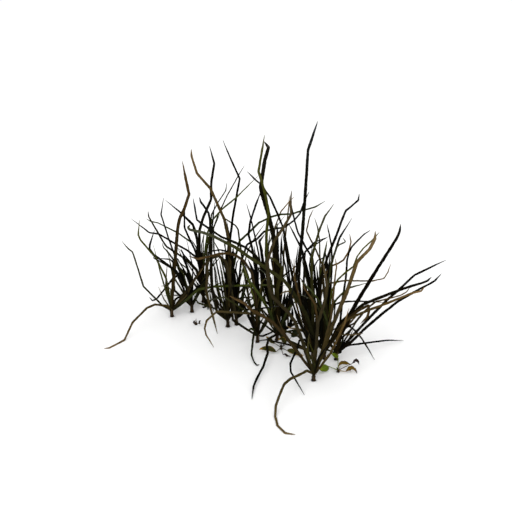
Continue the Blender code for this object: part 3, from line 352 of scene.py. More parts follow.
# How blades are laid out and bent clear of each other
LEAN_POWER = 1.3
TWIST = 0.7  # radians, root to tip, at most
LONGEST_SPAN = 34  # pixels between two bends
ROOT_CIRCLE = 0.5 * MM
ROOT_WIDTH = 1.2 * CROWN_RADIUS
STALK_ROOT = 0.6 * WEED_HEIGHT
NECK_HEIGHT = 11 * MM  # up to here a blade goes straight up out of its crown
GOLDEN_ANGLE = math.pi * (3 - math.sqrt(5))
SAMPLE_STEP = 1.5  # pixels
SLOPE_ALLOWANCE = 1.35  # on a blade's thickness, for its slope to the camera's sight
CROWN_MARKS = 8
CLEARING_PASSES = 4
CLEARING_ROUNDS = 3000
CLEARING_STEP = 0.6  # of what is missing, in each round
ORDER_ROUNDS = 60  # after these, which blade passes in front is judged again
CROWN_TRUST = 50  # how much more the order at the crowns counts than that higher up
LEAST_MOVE = 0.05 * MM
STILL_TIGHT = 0.3 * MM
LEANING_ROUNDS = 12
LEANING_REACH = 12  # pixels
SEAT_GAP = 0.35 * MM
PROBE_STEP = 0.5 * MM


def ray(point):
    """The way from the camera through a picture point, one metre deep."""
    across = (point[0] - PICTURE_PIXELS / 2) * PIXEL / CAMERA_DISTANCE
    up = (PICTURE_PIXELS / 2 - point[1]) * PIXEL / CAMERA_DISTANCE
    return FORWARD + across * RIGHTWARD + up * UPWARD


def depth_at_height(point, height):
    return (height - CAMERA[2]) / ray(point)[2]


def on_surface(point):
    return CAMERA + depth_at_height(point, 0) * ray(point)


def picture_point(place):
    """Where the camera sees a place, and how deep."""
    offset = np.asarray(place) - CAMERA
    depth = offset @ FORWARD
    across = offset @ RIGHTWARD / depth * CAMERA_DISTANCE / PIXEL
    up = offset @ UPWARD / depth * CAMERA_DISTANCE / PIXEL
    return np.array([PICTURE_PIXELS / 2 + across, PICTURE_PIXELS / 2 - up]), depth


class Blade:
    """A blade or leaf: the picture points of its bends, their depths, and a width at each."""

    def __init__(self, node, points, depths, widths, width, twist=0.0, thickness=None, spare=False,
                 colour=None, kind=None):
        self.node = node
        self.width = width  # where it is widest, as the looks have it
        self.colour = colour
        self.kind = kind  # a small leaf's colours, curl and twist
        self.points = np.array(points, float)
        self.depths = np.array(depths, float)
        self.widths = np.array(widths, float)
        self.twist = twist  # radians, root to tip
        self.thickness = thickness
        self.spare = spare  # left out where it can't be bent clear
        self.fixed = 1 if thickness else 2  # bends that stay in the crown or straight over it

    def shares(self):
        lengths = np.linalg.norm(np.diff(self.points, axis=0), axis=1)
        return np.concatenate([[0], np.cumsum(lengths)]) / lengths.sum()

    def thicknesses(self):
        if self.thickness:
            return np.full(len(self.points), self.thickness)
        return np.maximum(self.widths * DEPTH_OF_WIDTH, LEAST_DEPTH)

    def reaches(self):
        """How far each section reaches to the camera and away, at most."""
        turned = np.abs(np.sin(self.twist * self.shares()))
        return (self.thicknesses() + self.widths * turned) / 2 * SLOPE_ALLOWANCE

    def deepest(self):
        """How deep each bend may go before the blade would reach the surface."""
        lifts = REST_GAP + self.reaches()
        return [depth_at_height(point, lift) for point, lift in zip(self.points, lifts)]

    def places(self):
        return [CAMERA + depth * ray(point) for point, depth in zip(self.points, self.depths)]


def split_spans(points):
    """The picture points with more between two that are far apart."""
    split = [points[0]]
    for start, end in zip(points, points[1:]):
        count = max(1, math.ceil(math.dist(start, end) / LONGEST_SPAN))
        split += [np.add(start, np.subtract(end, start) * (i + 1) / count) for i in range(count)]
    return split


def grass_blade(node, foot, number, row, twist, spare):
    """A blade that leaves the crown on foot, by its row of BLADES."""
    colour, width_pixels, lean, *bends = row
    angle = number * GOLDEN_ANGLE
    root = foot + np.array([ROOT_CIRCLE * math.cos(angle), ROOT_CIRCLE * math.sin(angle), ROOT_HEIGHT])
    neck = root + np.array([0, 0, NECK_HEIGHT - ROOT_HEIGHT])
    (root_point, root_depth), (neck_point, neck_depth) = picture_point(root), picture_point(neck)
    points = split_spans([root_point, neck_point, *bends])
    width = max(width_pixels * PIXEL, LEAST_WIDTH)
    blade = Blade(node, points, np.zeros(len(points)), np.full(len(points), width), width_pixels * PIXEL,
                  twist, spare=spare, colour=colour)
    shares = blade.shares()
    if lean is LYING:
        far = root[1] + (on_surface(bends[-1])[1] - root[1]) * shares
    else:
        far = root[1] + lean * CM * shares ** LEAN_POWER
    blade.depths = np.array([(y - CAMERA[1]) / ray(point)[1] for y, point in zip(far, points)])
    blade.depths[:2] = root_depth, neck_depth
    narrowing = np.clip((1 - shares) / TAPER_SHARE, 0, 1)
    blade.widths = TIP_WIDTH + (blade.widths - TIP_WIDTH) * narrowing
    blade.widths[:2] = min(width, ROOT_WIDTH)
    return blade


def weed_leaf(node, foot, kind, width_pixels, marks):
    """A small leaf on its stalk from a weed's foot."""
    root_point, root_depth = picture_point(foot + np.array([0, 0, STALK_ROOT]))
    points = [root_point] + [mark[:2] for mark in marks]
    depths = [root_depth] + [depth_at_height(mark[:2], mark[2] * MM) for mark in marks]
    widths = [STALK_WIDTH, STALK_WIDTH, width_pixels * PIXEL, TIP_WIDTH]
    return Blade(node, points, depths, widths, width_pixels * PIXEL, thickness=LEAF_DEPTH, kind=kind)


def short_blades(dice, foot_point):
    """The tuft's short inner blades, as rows like those of BLADES."""
    for _ in range(SHORT_BLADES):
        slant = dice.uniform(-SHORT_SLANT, SHORT_SLANT)
        bend = slant + dice.uniform(-SHORT_BEND, SHORT_BEND)
        length = dice.uniform(*SHORT_LENGTH)
        knee = (foot_point[0] + SHORT_KNEE * length * math.sin(slant),
                foot_point[1] - SHORT_KNEE * length * math.cos(slant))
        tip = (knee[0] + (1 - SHORT_KNEE) * length * math.sin(bend),
               knee[1] - (1 - SHORT_KNEE) * length * math.cos(bend))
        colour = dice.choice((STRAW, OLIVE, DARK, GREEN))
        yield (colour, dice.uniform(*SHORT_WIDTH), dice.uniform(*SHORT_LEAN), knee, tip)


def lay_out():
    """All feet, by node name, and all blades."""
    feet = {}
    blades = []
    for tuft, foot_point in TUFTS.items():
        dice = random.Random(f"{tuft} {SEED}")
        feet[tuft] = on_surface(foot_point)
        rows = BLADES[tuft] + list(short_blades(dice, foot_point))
        for number, row in enumerate(rows):
            spare = number >= len(BLADES[tuft])
            blades.append(grass_blade(tuft, feet[tuft], number, row, dice.uniform(-TWIST, TWIST), spare))
    for weed, (foot_point, leaves) in WEEDS.items():
        feet[weed] = on_surface(foot_point)
        for kind, width, *marks in leaves:
            blades.append(weed_leaf(weed, feet[weed], kind, width, marks))
    return feet, blades


def crown_size(node):
    return (WEED_RADIUS, WEED_HEIGHT) if node in WEEDS else (CROWN_RADIUS, CROWN_HEIGHT)


def crown_marks(node, foot):
    height = crown_size(node)[1]
    return [picture_point(foot + np.array([0, 0, height * part])) for part in np.linspace(0, 1, CROWN_MARKS)]


class Samples:
    """Close points along every blade and crown, which show where two of them meet in the picture."""

    def __init__(self, feet, blades):
        nodes = {name: number for number, name in enumerate(feet)}
        rows = []
        start = 0
        for number, blade in enumerate(blades):
            deep = blade.reaches()
            for i, (a, b) in enumerate(zip(blade.points, blade.points[1:])):
                count = max(2, math.ceil(math.dist(a, b) / SAMPLE_STEP))
                for part in (np.arange(count) + 0.5) / count:
                    place = a + (b - a) * part
                    half = (blade.widths[i] * (1 - part) + blade.widths[i + 1] * part) / 2 / PIXEL
                    reach = deep[i] * (1 - part) + deep[i + 1] * part
                    rows.append((nodes[blade.node], number, start + i, part, *place, half, reach))
            start += len(blade.points)
        for number, (name, foot) in enumerate(feet.items()):
            radius = crown_size(name)[0]
            for point, _ in crown_marks(name, foot):
                rows.append((nodes[name], len(blades) + number, start, 0, *point, radius / PIXEL, radius))
                start += 1
        columns = np.array(rows).T
        self.node, self.blade, self.first = columns[:3].astype(int)
        self.share, self.half, self.reach = columns[3], columns[6], columns[7]
        self.where = columns[4:6].T
        self.second = np.minimum(self.first + 1, start - 1)

    def depths(self, bend_depths):
        return bend_depths[self.first] * (1 - self.share) + bend_depths[self.second] * self.share

    def meetings(self, blade_count):
        """The pairs of samples of two nodes that overlap in the picture, other than two crowns."""
        order = np.argsort(self.where[:, 0], kind="stable")
        across = self.where[order, 0]
        widest = 2 * self.half.max() + SAMPLE_STEP
        found = []
        for rank, i in enumerate(order):
            others = order[rank + 1:np.searchsorted(across, across[rank] + widest, side="right")]
            others = others[self.node[others] != self.node[i]]
            apart = np.linalg.norm(self.where[others] - self.where[i], axis=1)
            others = others[apart < self.half[others] + self.half[i] + SAMPLE_STEP]
            others = others[(self.blade[others] < blade_count) | (self.blade[i] < blade_count)]
            found.append(np.stack([np.full(len(others), i), others], axis=1))
        return np.concatenate(found).T


def bend_clear(feet, blades, rounds=CLEARING_ROUNDS):
    """Moves bends along the sight until blades of two nodes pass each other. Returns those still tight."""
    samples = Samples(feet, blades)
    one, other = samples.meetings(len(blades))
    crown_depths = [depth for name, foot in feet.items() for _, depth in crown_marks(name, foot)]
    depths = np.concatenate([*(blade.depths for blade in blades), crown_depths])
    deepest = np.concatenate([*(blade.deepest() for blade in blades), crown_depths])
    fixed = np.concatenate([*(np.arange(len(blade.points)) < blade.fixed for blade in blades),
                            np.ones(len(crown_depths), bool)])
    deepest = np.where(fixed, depths, deepest)
    shallowest = np.where(fixed, depths, 0)
    held = fixed[samples.first] & fixed[samples.second]
    need = samples.reach[one] + samples.reach[other] + CLEAR_GAP
    free = ~(held[one] & held[other])
    trust = np.where(held[one] | held[other], CROWN_TRUST, 1)
    _, couple = np.unique(samples.blade[one] * len(depths) + samples.blade[other], return_inverse=True)
    for turn in range(rounds):
        at = samples.depths(depths)
        gap = at[other] - at[one]
        if turn % ORDER_ROUNDS == 0:
            side = np.where(np.bincount(couple, gap * trust)[couple] > 0, 1, -1)
        missing = np.where(free, need - side * gap, 0)
        if missing.max() < LEAST_MOVE:
            break
        bad = np.flatnonzero(missing > 0)
        push = np.zeros(len(depths))
        weight = np.zeros(len(depths))
        for sample, sign in ((one[bad], -1), (other[bad], 1)):
            move = sign * side[bad] * missing[bad] * CLEARING_STEP
            for bend, share in ((samples.first[sample], 1 - samples.share[sample]),
                                (samples.second[sample], samples.share[sample])):
                np.add.at(push, bend, move * np.abs(move) * share)
                np.add.at(weight, bend, np.abs(move) * share)
        moves = np.divide(push, weight, out=np.zeros_like(push), where=weight > 0)
        depths = np.clip(depths + moves, shallowest, deepest)
    start = 0
    for blade in blades:
        blade.depths = depths[start:start + len(blade.points)]
        start += len(blade.points)
    tight = missing > STILL_TIGHT
    return set(samples.blade[one[tight]]) | set(samples.blade[other[tight]])


def clear_blades():
    """All feet and blades, bent clear, without the spare blades that couldn't be."""
    feet, blades = lay_out()
    for _ in range(CLEARING_PASSES):
        first_depths = [blade.depths.copy() for blade in blades]
        tight = bend_clear(feet, blades)
        spares = {i for i in tight if i < len(blades) and blades[i].spare}
        if not spares:
            break
        for blade, depths in zip(blades, first_depths):
            blade.depths = depths
        blades = [blade for i, blade in enumerate(blades) if i not in spares]
    return feet, blades


def crown_solid(node, foot):
    """A cut stub with a flat underside on the surface."""
    radius, height = crown_size(node)
    stub = bmesh.new()
    bmesh.ops.create_cone(stub, cap_ends=True, segments=CROWN_SIDES, radius1=radius,
                          radius2=radius * CROWN_TAPER, depth=height)
    bmesh.ops.translate(stub, vec=Vector(foot) + Vector((0, 0, height / 2)), verts=stub.verts)
    return stub


def sections(blade):
    """A blade's three-sided sections, root to tip: two edges and the keel behind them."""
    places = [Vector(place) for place in blade.places()]
    turns = blade.twist * blade.shares()
    for i, (place, width, thick, turn) in enumerate(zip(places, blade.widths, blade.thicknesses(), turns)):
        before = places[max(i - 1, 0)]
        after = places[min(i + 1, len(places) - 1)]
        along = ((place - before).normalized() + (after - place).normalized()).normalized()
        sight = (place - Vector(CAMERA)).normalized()
        across = along.cross(sight).normalized()
        behind = across.cross(along)
        across, behind = (across * math.cos(turn) + behind * math.sin(turn),
                          behind * math.cos(turn) - across * math.sin(turn))
        middle = place - behind * thick / 3
        yield [middle + across * width / 2, middle - across * width / 2, middle + behind * thick]


def blade_solid(blade):
    """The loft between a blade's sections, with its two ends closed."""
    solid = bmesh.new()
    rings = [[solid.verts.new(corner) for corner in section] for section in sections(blade)]
    for ring, following in zip(rings, rings[1:]):
        for k in range(3):
            solid.faces.new((ring[k], ring[(k + 1) % 3], following[(k + 1) % 3], following[k]))
    solid.faces.new(rings[0][::-1])
    solid.faces.new(rings[-1])
    bmesh.ops.triangulate(solid, faces=solid.faces)
    return solid


def node_tree(node, feet, blades):
    """A tree of all surfaces of one node, for measuring to them."""
    solids = [crown_solid(node, feet[node])] + [blade_solid(blade) for blade in blades if blade.node == node]
    corners = []
    faces = []
    for solid in solids:
        solid.verts.index_update()
        faces += [[len(corners) + vert.index for vert in face.verts] for face in solid.faces]
        corners += [vert.co.copy() for vert in solid.verts]
        solid.free()
    return BVHTree.FromPolygons(corners, faces)


def edge_points(solid):
    """Close points along a solid's edges."""
    points = []
    for edge in solid.edges:
        start, end = (vert.co for vert in edge.verts)
        count = max(2, math.ceil((end - start).length / PROBE_STEP))
        points += [start.lerp(end, i / count) for i in range(count + 1)]
    return points


def off_span(point, start, end):
    """A picture point's distance from the line between two others."""
    along = end - start
    share = np.clip((point - start) @ along / (along @ along), 0, 1)
    return np.linalg.norm(point - start - along * share)


def lean_on(blade, mark, tree):
    """Moves a blade along the sight until it all but touches its neighbour near a picture point."""
    for _ in range(LEANING_ROUNDS):
        solid = blade_solid(blade)
        near = [point for point in edge_points(solid)
                if math.dist(picture_point(point)[0], mark) < LEANING_REACH]
        solid.free()
        point = min(near, key=lambda near_point: tree.find_nearest(near_point)[3])
        place, _, _, gap = tree.find_nearest(point)
        picture = picture_point(point)[0]
        span = min(range(len(blade.points) - 1), key=lambda i: off_span(picture, *blade.points[i:i + 2]))
        toward = 1 if (place - point).dot(Vector(FORWARD)) > 0 else -1
        for i in (span, span + 1):
            if i >= blade.fixed:
                blade.depths[i] += (gap - SEAT_GAP) * toward


# The fine dry blades and wide dark scraps inside each tuft that the solids leave out, as rows like those of
# BLADES
FINE_BLADES = {
    "left": [
        (STRAW, 1.2, 2, (186, 296), (192, 285), (203, 268)),
    ],
    "left_back": [
        (DARK, 1.3, 2, (187, 290), (176, 263), (168, 253), (165, 249)),
        (DARK, 2.8, 3, (192, 288), (187, 266), (183, 253), (181, 249)),
        (DARK, 1.2, 4, (190, 285), (184, 270), (178, 259), (173, 255)),
        (DARK, 1.4, 1, (187, 296), (182, 284), (177, 277)),
        (OLIVE, 1.3, 5, (192, 290), (188, 276), (183, 268), (180, 262)),
    ],
    "back": [
        (OLIVE, 1.8, 3, (206, 275), (207, 250), (209, 237), (214, 227), (220, 214)),
        (DARK, 1.2, 2, (203, 290), (202, 256), (201.5, 246), (203.5, 234)),
        (DARK, 1.6, -1, (201, 285), (198, 256), (196.5, 248), (191.5, 239.5)),
        (DARK, 2.4, -1, (206, 306), (204, 307.5), (202, 307)),
        (DARK, 1.6, -1, (208, 302), (212, 305.5), (214, 312)),
        (DARK, 2.0, 0, (201, 293), (198, 284.5), (195.5, 280.5)),
        (DARK, 1.5, 4, (200, 283), (192, 270), (186, 261)),
        (DARK, 2.2, -1, (200, 262), (197, 240), (193, 225), (180, 212), (166, 200.5)),
        (OLIVE, 2.0, 0, (207, 306), (211, 300), (209.5, 291)),
    ],
    "middle_left": [
        (DARK, 1.5, 5, (213, 300), (211.5, 262), (212, 228), (213.3, 216), (214.8, 202)),
        (OLIVE, 2.2, 2, (226, 300), (221.5, 273), (219, 259)),
        (DARK, 3.6, 2, (228, 312), (226.5, 300), (225, 287)),
        (DARK, 1.5, 3, (221, 305), (216, 285), (214.5, 270), (213, 259)),
        (DARK, 1.5, 4, (220, 312), (215, 296), (211, 282), (209.5, 264)),
        (OLIVE, 1.6, -1, (226, 300), (224, 282), (221, 277)),
        (DARK, 2.4, 6, (226, 275), (228.8, 235), (226.8, 221)),
    ],
    "middle": [
        (DARK, 1.8, 3, (238, 292), (237.5, 277), (235.6, 270), (236.8, 263), (239, 259)),
        (DARK, 2.0, 4, (233, 290), (226.5, 270), (223.5, 262), (222, 250)),
        (DARK, 1.5, 5, (231, 280), (226, 262), (225.5, 244)),
        (DARK, 2.2, 6, (232, 275), (236, 256), (232, 249)),
        (DARK, 1.6, 1, (236, 300), (233.5, 290), (234, 282)),
        (DARK, 1.8, 0, (240, 305), (243, 290), (244, 280)),
        (DARK, 3.0, 2, (233, 280), (232.5, 254), (233.5, 247)),
    ],
    "middle_front": [
        (DARK, 3.6, 2, (257, 300), (253.5, 272), (248, 259)),
        (DARK, 1.8, 3, (258, 300), (258, 279), (259, 265)),
        (DARK, 1.8, 0, (255, 331), (250.5, 321), (246.5, 315)),
        (DARK, 1.6, 2, (255, 300), (247, 272), (245, 265)),
        (OLIVE, 1.4, 1, (252, 312), (244, 292), (242.5, 286)),
        (DARK, 2.2, 3, (259, 295), (256, 262), (254, 245)),
    ],
    "centre": [
        (DARK, 3.6, 3, (272, 310), (267, 292), (263.5, 275), (263, 262), (261.5, 250), (259.5, 241.5),
         (265, 234)),
        (DARK, 1.8, 5, (271, 290), (268, 262), (268.4, 246), (270.2, 231.5)),
        (DARK, 1.8, 6, (290, 305), (289.5, 280), (287.4, 262), (285, 245), (282, 233)),
        (DARK, 1.8, 3, (281, 312), (280, 295), (279.5, 280), (280, 267)),
        (DARK, 3.0, 2, (286, 318), (286.5, 305), (287, 297), (288.5, 292)),
        (DARK, 3.0, 1, (290, 326), (292.5, 314), (291.8, 306)),
        (OLIVE, 1.5, 4, (288, 305), (292.3, 275), (294, 268), (299.5, 262.5)),
        (DARK, 2.4, 7, (277, 290), (272, 262), (271, 256)),
        (DARK, 1.6, 5, (279, 300), (275, 262), (277.5, 236), (281, 228.5)),
        (DARK, 3.0, 6, (279, 290), (277.5, 236), (277, 220)),
        (DARK, 2.0, 4, (281, 290), (281, 250), (281.3, 234)),
        (DARK, 3.4, 2, (283, 320), (283.5, 303), (285.5, 290)),
        (OLIVE, 3.4, 0, (277, 290), (282, 268), (275, 260), (266, 256)),
    ],
    "right": [
        (DARK, 3.4, 0, (308, 330), (302.5, 303), (305.5, 294)),
        (DARK, 3.4, 2, (309, 325), (304, 291), (306, 283)),
        (DARK, 2.6, 4, (309, 320), (303, 281), (305.3, 274.5)),
        (DARK, 3.2, 0, (311, 338), (309.3, 319), (307.5, 309)),
        (DARK, 1.5, 3, (303, 320), (298, 290), (297.3, 276)),
        (DARK, 1.6, 5, (304, 315), (298, 280), (296, 262), (298.2, 246)),
        (OLIVE, 1.5, 4, (311, 300), (304, 268), (301.8, 259.5)),
        (DARK, 1.7, 3, (303, 300), (305, 252), (315, 242), (328, 237)),
        (DARK, 2.4, 1, (311, 330), (309, 300), (305.5, 287), (301, 279)),
    ],
    "right_centre": [
        (DARK, 2.6, 3, (328, 300), (329, 268), (330.3, 254)),
        (DARK, 1.5, 6, (320, 300), (310.3, 272), (309.6, 257)),
        (DARK, 1.6, 7, (315, 300), (309.5, 265), (312.5, 245)),
        (OLIVE, 1.4, 2, (327, 320), (323, 290), (322.5, 280)),
        (DARK, 3.0, 3, (321, 310), (318.5, 282), (316.5, 266)),
    ],
    "right_end": [
        (DARK, 2.6, 0, (340, 352), (343.5, 342.5), (346.5, 337)),
        (STRAW, 1.4, 2, (346, 338), (356, 322), (364, 313)),
    ],
    "front": [],
}

# And those that are seeded: how many, their slants from upright in degrees and their lengths in pixels
SEEDED_BLADES = {
    "left": (1, (-10, 35), (25, 50)),
    "left_back": (2, (-40, 25), (35, 70)),
    "back": (3, (-60, 50), (45, 85)),
    "middle_left": (3, (-50, 40), (45, 80)),
    "middle": (4, (-20, 65), (45, 95)),
    "middle_front": (5, (-58, 64), (35, 100)),
    "centre": (6, (-62, 62), (35, 110)),
    "right": (6, (-64, 40), (45, 115)),
    "right_centre": (5, (-64, 45), (45, 105)),
    "right_end": (2, (-60, 40), (30, 60)),
    "front": (1, (-25, 25), (30, 60)),
}
FINE_COLOURS = (DARK, DARK, DARK, OLIVE, OLIVE, OLIVE, STRAW, GREEN)
FINE_WIDTH = (1.1, 2.2)
FINE_LEAN = (-4, 10)  # centimetres
FINE_JOINTS = (0.45, 0.35, 0.2)  # the shares of a length between bends
FINE_BEND = 0.8  # radians, at most
FINE_WAVER = 16 * MM  # of the bends along the sight, at the tips
FINE_CLEARING_ROUNDS = 400

# The fine shape of blades
RING_STEP = 1.8 * MM
KINK_ROUND = 1.3 * MM  # how far from a bend its rounding begins
KINK_SHARE = 0.4  # of the shorter span at the bend, at most
KINK_PARTS = (0.25, 0.5, 0.75)
BLADE_MARKS = (-1, -0.62, -0.24, 0, 0.24, 0.62, 1)  # across a section, as shares of half the width
FOLD_DEPTH = 0.30  # of the width
FOLD_POWER = 1.2
FOLD_LEVEL = 2 / 3  # of the depth is behind the line
WALL = 0.42 * MM  # a blade's own thickness at its midrib
WALL_OF_WIDTH = 0.42
EDGE_WALL = 0.3  # the share of it that is left at the edges
MIDRIB = 0.14 * MM
HAIR_WIDTH = 0.4 * MM
NARROWING = 0.35  # of the width, root to tip, besides the point
NARROWING_POWER = 3
POINT_SPAN = 0.9  # of the last span is the point
POINT_POWER = 0.7
THINNEST = 1.6 * MM
FULLNESS = 0.8 * MM  # a folded, turned blade shows less than its width
WANDER = 0.16 * MM
STEADY_SHARE = 0.1  # of the length at the root, where it wanders less
RIPPLE = 0.10  # of the width, at the edges
WIDTH_CHANGE = 0.10
FOLD_CHANGE = 0.35
TWIST_CHANGE = 0.12  # radians
WAVELENGTHS = (7 * MM, 17 * MM, 41 * MM)
WAVELENGTH_CHANGE = (0.7, 1.4)
SWELL_STARTS = (0, 6)  # radians
STRIP_STEP = 13.7  # from one strip to the next in the materials' noise
SHARP_EDGE = math.radians(48)

# A crown's ridged core
CORE_SIDES = 40
CORE_RINGS = 14
CORE_RIDGES = 11
CORE_SIZE = 0.74  # of the solid's radius, and of its height
CORE_LOBES = ((2, 0.05), (3, 0.03))  # how many round it, and their height as a share of the radius
CORE_SWELL = 0.04  # of the radius
CORE_SWELL_TURN = 9  # radians up its height
CORE_TOP = 0.82  # the last ring's size
CORE_STRIPS = (0, 99)  # where in the materials' noise it may lie
CORE_SHARE = 0.3  # of the way along the colours, at its top: dark, partly painted shade between the sheaths
RIDGE_HEIGHT = 0.08  # of the radius
HALF_EDGE = 0.5  # neither midrib nor edge

# The torn sheaths that wrap it
SHEATHS = 15
SHEATH_RINGS = 16
SHEATH_STRIPS = 50  # where the numbers of their strips begin
SHEATH_WALL = 0.24 * MM
SHEATH_THINNING = 0.6  # of the wall, at the edges
SHEATH_BOTTOM = (0, 0.12)  # of the crown's height
SHEATH_TOP = (0.7, 2.0)
SHEATH_SEAT = 0.86  # of the crown's radius
SHEATH_LAYERS = 3
SHEATH_LAYER = 0.05  # of the radius, from one layer to the next
SHEATH_TAPER = 0.12  # of the radius, over the crown's height
SHEATH_TAPER_TOP = 1.3  # crown's heights up, where the taper ends
SHEATH_WIDTH = (0.22, 0.6)  # radians to each side
SHEATH_POINT = 0.93  # of the width is gone at the top
SHEATH_POINT_POWER = 1.8
SHEATH_TORN = 0.2  # of the width
SHEATH_TORN_PACE = 3  # how much faster that changes than along a blade
SHEATH_SPREAD = 0.3  # radians
SHEATH_SWEEP = 0.4
SHEATH_TILT = 0.05  # of the radius, from the middle to an edge
SHEATH_FLARE = (0.0, 1.5 * MM)
SHEATH_FLARE_POWER = 3
FOOT_FLARE = (0.0, 1.1 * MM)
FOOT_FLARE_POWER = 6
SHEATH_RAGGED = 0.35 * MM
SHEATH_RAGGED_TURN = 5  # radians from the middle to an edge

# The torn fibres at its cut
ROOT_HAIRS = 14
ROOT_HAIR_RINGS = 6
ROOT_HAIR_LENGTH = (1.6 * MM, 4.2 * MM)
ROOT_HAIR_WIDTH = 0.26 * MM
ROOT_HAIR_TAPER = (1.1, 0.1)  # of its width, from the crown outward
ROOT_HAIR_START = 0.85  # of the radius
ROOT_HAIR_TURN = 0.5  # radians
ROOT_HAIR_HEIGHT = (0.6 * MM, 1.6 * MM)
ROOT_HAIR_SEAT = 0.6  # of its width over the surface, at the end
ROOT_HAIR_STEP = 3.1  # in the materials' noise
ROOT_HAIR_SHARE = 0.2  # of the way along the colours

# Small leaves
LEAF_MARKS = (-1, -0.78, -0.52, -0.25, 0, 0.25, 0.52, 0.78, 1)
LEAF_RINGS = 26
LEAF_WALL = 0.34 * MM
LEAF_THINNING = 0.6  # of the wall, at the edges
LEAF_MIDRIB = 0.12 * MM
LEAF_STUB = 0.2 * MM  # half its width at the ends
LEAF_SEAT = 0.2 * MM  # the least height over the surface
LEAF_SKEW = 0.82  # moves the widest place toward the base
LEAF_POINT = 0.55  # the outline's power on a flat leaf
CURL_POINT = 0.6  # and what curl adds to it
CURL_POWER = 1.6
UNEVEN_HALF = 0.4  # of one half's width, on a leaf that is fully curled
LEAF_RAGGED = 0.25  # of the half width, on such a leaf
LEAF_RAGGED_PACE = 4  # how much faster that changes than along a blade
LEAF_WAVE = 0.16
LEAF_WAVE_PACE = 3
LEAF_TURN = 0.3  # radians
TWIST_MIDDLE = 0.4  # the share of the length where a leaf's twist is nil
STALK_SIDES = 8
STALK_RADIUS = 0.5 * MM
STALK_TAPER = (1.15, 0.8)  # of the radius, from the weed's foot to the leaf
STALK_RINGS = 8
STALK_SIDE = (0.3, 1.0, 0.2)  # not along any stalk
STALK_LENGTH = 9  # in the materials' noise
STALK_SHARE = 0.2  # how much of a leaf's length it counts as, for the margin
STALK_SHADE = 0.4

# Dry grass and the crowns: the colours along a length, whose darker roots and crown feet are partly their own
# colour and partly painted shade deep in the bunch, the blotches' colour and share, how far a blade's shade is
# from the others', how much lighter its midrib is, the specular level and the roughness
GRASSES = {
    STRAW: dict(
        stops=[(0.0, (0.015, 0.0095, 0.0025)), (0.15, (0.031, 0.022, 0.0045)), (0.50, (0.034, 0.024, 0.0070)),
               (0.80, (0.062, 0.040, 0.0110)), (1.0, (0.120, 0.080, 0.033))],
        spot=(0.012, 0.008, 0.003), spot_share=0.04, shade=0.45, midrib=0.35, specular=0.08, rough=0.78),
    OLIVE: dict(
        stops=[(0.0, (0.005, 0.004, 0.0012)), (0.15, (0.010, 0.009, 0.0020)), (0.50, (0.019, 0.018, 0.0030)),
               (0.80, (0.024, 0.024, 0.0050)), (1.0, (0.046, 0.046, 0.024))],
        spot=(0.009, 0.006, 0.002), spot_share=0.03, shade=0.45, midrib=0.35, specular=0.06, rough=0.80),
    DARK: dict(
        stops=[(0.0, (0.0090, 0.0066, 0.0018)), (0.30, (0.0048, 0.0038, 0.0012)),
               (0.75, (0.0030, 0.0026, 0.0010)), (0.94, (0.0060, 0.0060, 0.0045)),
               (1.0, (0.028, 0.028, 0.025))],
        spot=(0.009, 0.006, 0.002), spot_share=0.02, shade=0.50, midrib=0.5, specular=0.03, rough=0.87),
    GREEN: dict(
        stops=[(0.0, (0.005, 0.005, 0.0012)), (0.15, (0.011, 0.013, 0.0020)), (0.50, (0.026, 0.031, 0.0028)),
               (0.80, (0.036, 0.042, 0.0045)), (1.0, (0.062, 0.066, 0.022))],
        spot=(0.013, 0.010, 0.002), spot_share=0.02, shade=0.50, midrib=0.3, specular=0.08, rough=0.78),
    CROWN: dict(
        stops=[(0.0, (0.009, 0.005, 0.002)), (0.35, (0.026, 0.015, 0.006)), (0.75, (0.048, 0.031, 0.012)),
               (1.0, (0.085, 0.060, 0.028))],
        spot=(0.010, 0.006, 0.003), spot_share=0.10, shade=0.60, midrib=0.0, specular=0.12, rough=0.8),
}

# How fine each noise is across a strip, along it and from one strip to the next
DRIFT_GRAIN = (0.0, 0.05, 1.0)
STREAK_GRAIN = (5.5, 0.10, 1.0)
BLOTCH_GRAIN = (0.45, 0.16, 1.0)
SPECK_GRAIN = (9.0, 1.1, 1.0)
WRINKLE_GRAIN = (0.5, 1.3, 1.0)
LEAF_BLOTCH_GRAIN = (0.5, 0.5, 1.0)
LEAF_SPECK_GRAIN = (2.5, 2.5, 1.0)
NOISE_DETAIL = 3.0
NOISE_ROUGHNESS = 0.6

# The ranges of a noise or a share that are read, and those that they become: a tone of 1 changes nothing
WHOLE = (0.0, 1.0)
NOISE_MIDDLE = (0.25, 0.75)
NOISE_MOST = (0.2, 0.8)
FADING = (-0.09, 0.09)  # of the length
BLOTCH_START = 0.62
BLOTCH_FULL = 0.70
BLOTCH_STRENGTH = (0.0, 0.85)
STREAK_RANGE = (0.28, 0.72)
STREAK_TONES = (0.62, 1.35)
SPECK_TONES = (0.85, 1.15)
MIDRIB_RANGE = (0.0, 0.3)
WARMTH_PACE = 7.3  # makes another random share of a blade's own
WARM_REDS = (0.9, 1.15)
WARM_BLUES = (1.25, 0.8)
ROUGH_MORE = 0.08
ROUGH_LESS = 0.1
WRINKLE_BUMP = (0.10 * MM, 0.6)  # its height and strength
STREAK_BUMP = (0.14 * MM, 1.0)
LEAF_SPECULAR = 0.10
LEAF_ROUGHNESS = (0.75, 0.5)
LEAF_SPECK_TONES = (0.65, 1.3)
LEAF_SPECK_BUMP = (0.15 * MM, 0.7)
LEAF_MIDRIB_RANGE = (0.0, 0.12)
LEAF_MIDRIB_TONES = (1.5, 1.0)
MARGIN_AT_EDGE = 0.8
MARGIN_AT_TIP = ((0.5, 1.0), (0.0, 1.1))  # shares of the length, and what they become
MARGIN_CHANGE = (-0.35, 0.35)
MARGIN_RANGE = (0.55, 1.0)
VEIN_SLANT = 0.8
VEIN_PACE = 5.5
VEIN_RANGE = (0.7, 1.0)
VEIN_TONES = (1.0, 1.35)
VEIN_BUMP = (0.12 * MM, 1.0)

